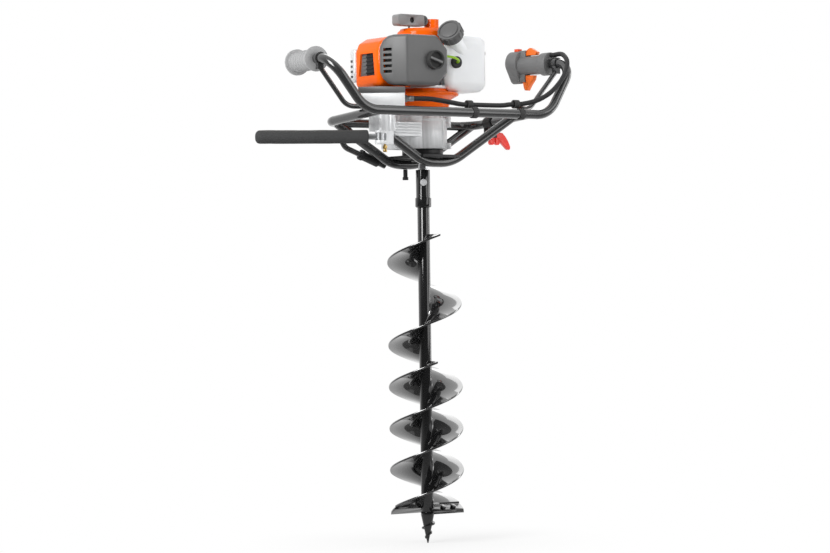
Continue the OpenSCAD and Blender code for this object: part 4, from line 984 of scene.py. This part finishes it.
class AUGER_OT_fittings(bpy.types.Operator):
    """Adds the knob's bar, the rope's plug, the cores of muffler and filter, a ferrule, screws"""

    bl_idname = "auger.fittings"
    bl_label = "Fittings"

    def execute(self, context):
        colours, sizes = context.scene.auger_colours, context.scene.auger_sizes
        self.knob_bar(colours)
        self.rope_plug(colours)
        self.muffler_core(colours)
        self.filter_element(colours)
        self.ferrule(colours)
        self.cover_screws(colours, sizes)
        return {"FINISHED"}

    def knob_bar(self, colours):
        """Bright bar across the face of the filter knob."""
        low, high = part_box("filter_knob")
        centre = Vector(((low.x + high.x) / 2, low.y + 0.6 * MM, (low.z + high.z) / 2))
        span = (0.84 * (high.x - low.x), 3.4 * MM, 5.6 * MM)
        tilt = Matrix.Rotation(math.radians(18), 3, "Y")

        def shape_bar(shape):
            soft_block(shape, span, 1.2 * MM)
            bmesh.ops.rotate(shape, cent=(0, 0, 0), verts=shape.verts, matrix=tilt)
            bmesh.ops.translate(shape, vec=centre, verts=shape.verts)

        new_piece("knob_bar", shape_bar, housing_plastic(colours), "knob")

    def rope_plug(self, colours):
        """Dark plug over the rope's knot, in the round recess of the starter handle."""
        recess_x, recess_depth = 35 * MM, 5.2 * MM
        low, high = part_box("starter_handle")
        bottom = Vector((low.x + recess_x, low.y + recess_depth, (low.z + high.z) / 2))
        profile = [(0, 0), (5.8 * MM, 0), (5.8 * MM, 1.6 * MM), (5.2 * MM, 2.2 * MM),
                   (3.4 * MM, 2.2 * MM), (2.9 * MM, 1.4 * MM), (0, 1.2 * MM)]

        def shape_plug(shape):
            turn_profile(shape, profile, facing(bottom, (0, -1, 0)))

        new_piece("rope_plug", shape_plug, soft_rubber(colours), "starter")

    def muffler_core(self, colours):
        """Dark body of the muffler behind the slots of its guard, black partly as painted shade
        seen through the slots.
        """
        low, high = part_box("muffler")
        inset = Vector((5 * MM, 5 * MM, 5 * MM))

        def shape_core(shape):
            soft_block(shape, high - low - 2 * inset, 3 * MM)
            bmesh.ops.translate(shape, vec=(low + high) / 2, verts=shape.verts)

        new_piece("muffler_core", shape_core, black_casting(colours), "frame")

    def filter_element(self, colours):
        """Dark block of the air filter behind the slots of its cover, dark partly as painted shade
        seen through the slots.
        """
        low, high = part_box("filter_cover")
        outline = [(35, 15), (22, 33), (17, 41), (13, 47), (10.5, 51), (74, 51), (74, 15)]
        floor, top = low.z + 24 * MM, high.z - 22 * MM

        def shape_element(shape):
            base = shape.faces.new([shape.verts.new((low.x + x * MM, low.y + y * MM, floor))
                                    for x, y in outline])
            grown = bmesh.ops.extrude_face_region(shape, geom=[base])
            upper = [item for item in grown["geom"] if isinstance(item, bmesh.types.BMVert)]
            bmesh.ops.translate(shape, vec=(0, 0, top - floor), verts=upper)
            bmesh.ops.bevel(shape, geom=shape.edges[:], offset=1.2 * MM, segments=2, affect="EDGES")

        new_piece("filter_element", shape_element, dark_plastic(colours), "frame")

    def ferrule(self, colours):
        """Crimped end of the cable with its nut at the brake box."""
        along = Vector((math.cos(BOX_TURN), math.sin(BOX_TURN), 0))
        low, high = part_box("brake_box")
        half_box, level = 46.3 * MM, 16 * MM
        middle = Vector(((low.x + high.x) / 2, (low.y + high.y) / 2, low.z + level))
        place = facing(middle + along * half_box, along)
        r = 6.0 * MM
        crimp = 0.9 * r
        sleeve = [(0, 0), (r, 0), (r, 5 * MM), (crimp, 6 * MM), (crimp, 9 * MM), (r, 10 * MM),
                  (r, 14 * MM), (crimp, 15 * MM), (crimp, 18 * MM), (0, 18 * MM)]
        nut = [(0, 0.1 * MM), (8 * MM, 0.1 * MM), (8 * MM, 4 * MM), (0, 4 * MM)]

        def shape_ferrule(shape):
            turn_profile(shape, sleeve, place)
            turn_profile(shape, nut, place, sides=6)

        new_piece("cable_ferrule", shape_ferrule, zinc_plate(colours), "frame")

    def cover_screws(self, colours, sizes):
        """Pan-head screws of the muffler."""
        low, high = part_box("muffler")
        inset_x, inset_z = 8 * MM, 9 * MM

        def shape_screws(shape):
            for x in (low.x + inset_x, high.x - inset_x):
                for z in (low.z + inset_z, high.z - inset_z):
                    screw_head(shape, (x, high.y, z), (0, 1, 0), sizes.screw_r)

        new_piece("cover_screws", shape_screws, zinc_plate(colours), "frame")


class AUGER_PT_panel(bpy.types.Panel):
    """Lists the steps that dress the auger"""

    bl_label = "Earth Auger"
    bl_idname = "AUGER_PT_panel"
    bl_space_type = "VIEW_3D"
    bl_region_type = "UI"
    bl_category = "Auger"

    def draw(self, context):
        for step in STEPS:
            self.layout.operator(step.bl_idname)
        scene = context.scene
        for group in (scene.auger_colours, scene.auger_sizes, scene.auger_stage):
            box = self.layout.box()
            for label in group.__annotations__:
                box.prop(group, label)


STEPS = (AUGER_OT_stage, AUGER_OT_bit, AUGER_OT_gearbox, AUGER_OT_engine, AUGER_OT_rope,
         AUGER_OT_fuel, AUGER_OT_frame, AUGER_OT_controls, AUGER_OT_foam, AUGER_OT_fittings)
CLASSES = (AugerColours, AugerSizes, AugerStage, *STEPS, AUGER_PT_panel)


def register():
    for item in CLASSES:
        bpy.utils.register_class(item)
    bpy.types.Scene.auger_colours = bpy.props.PointerProperty(type=AugerColours)
    bpy.types.Scene.auger_sizes = bpy.props.PointerProperty(type=AugerSizes)
    bpy.types.Scene.auger_stage = bpy.props.PointerProperty(type=AugerStage)


def unregister():
    del bpy.types.Scene.auger_stage
    del bpy.types.Scene.auger_sizes
    del bpy.types.Scene.auger_colours
    for item in reversed(CLASSES):
        bpy.utils.unregister_class(item)


def main():
    register()
    bpy.ops.auger.stage()
    bpy.ops.auger.bit()
    bpy.ops.auger.gearbox()
    bpy.ops.auger.engine()
    bpy.ops.auger.rope()
    bpy.ops.auger.fuel()
    bpy.ops.auger.frame()
    bpy.ops.auger.controls()
    bpy.ops.auger.foam()
    bpy.ops.auger.fittings()


if __name__ == "__main__":
    main()
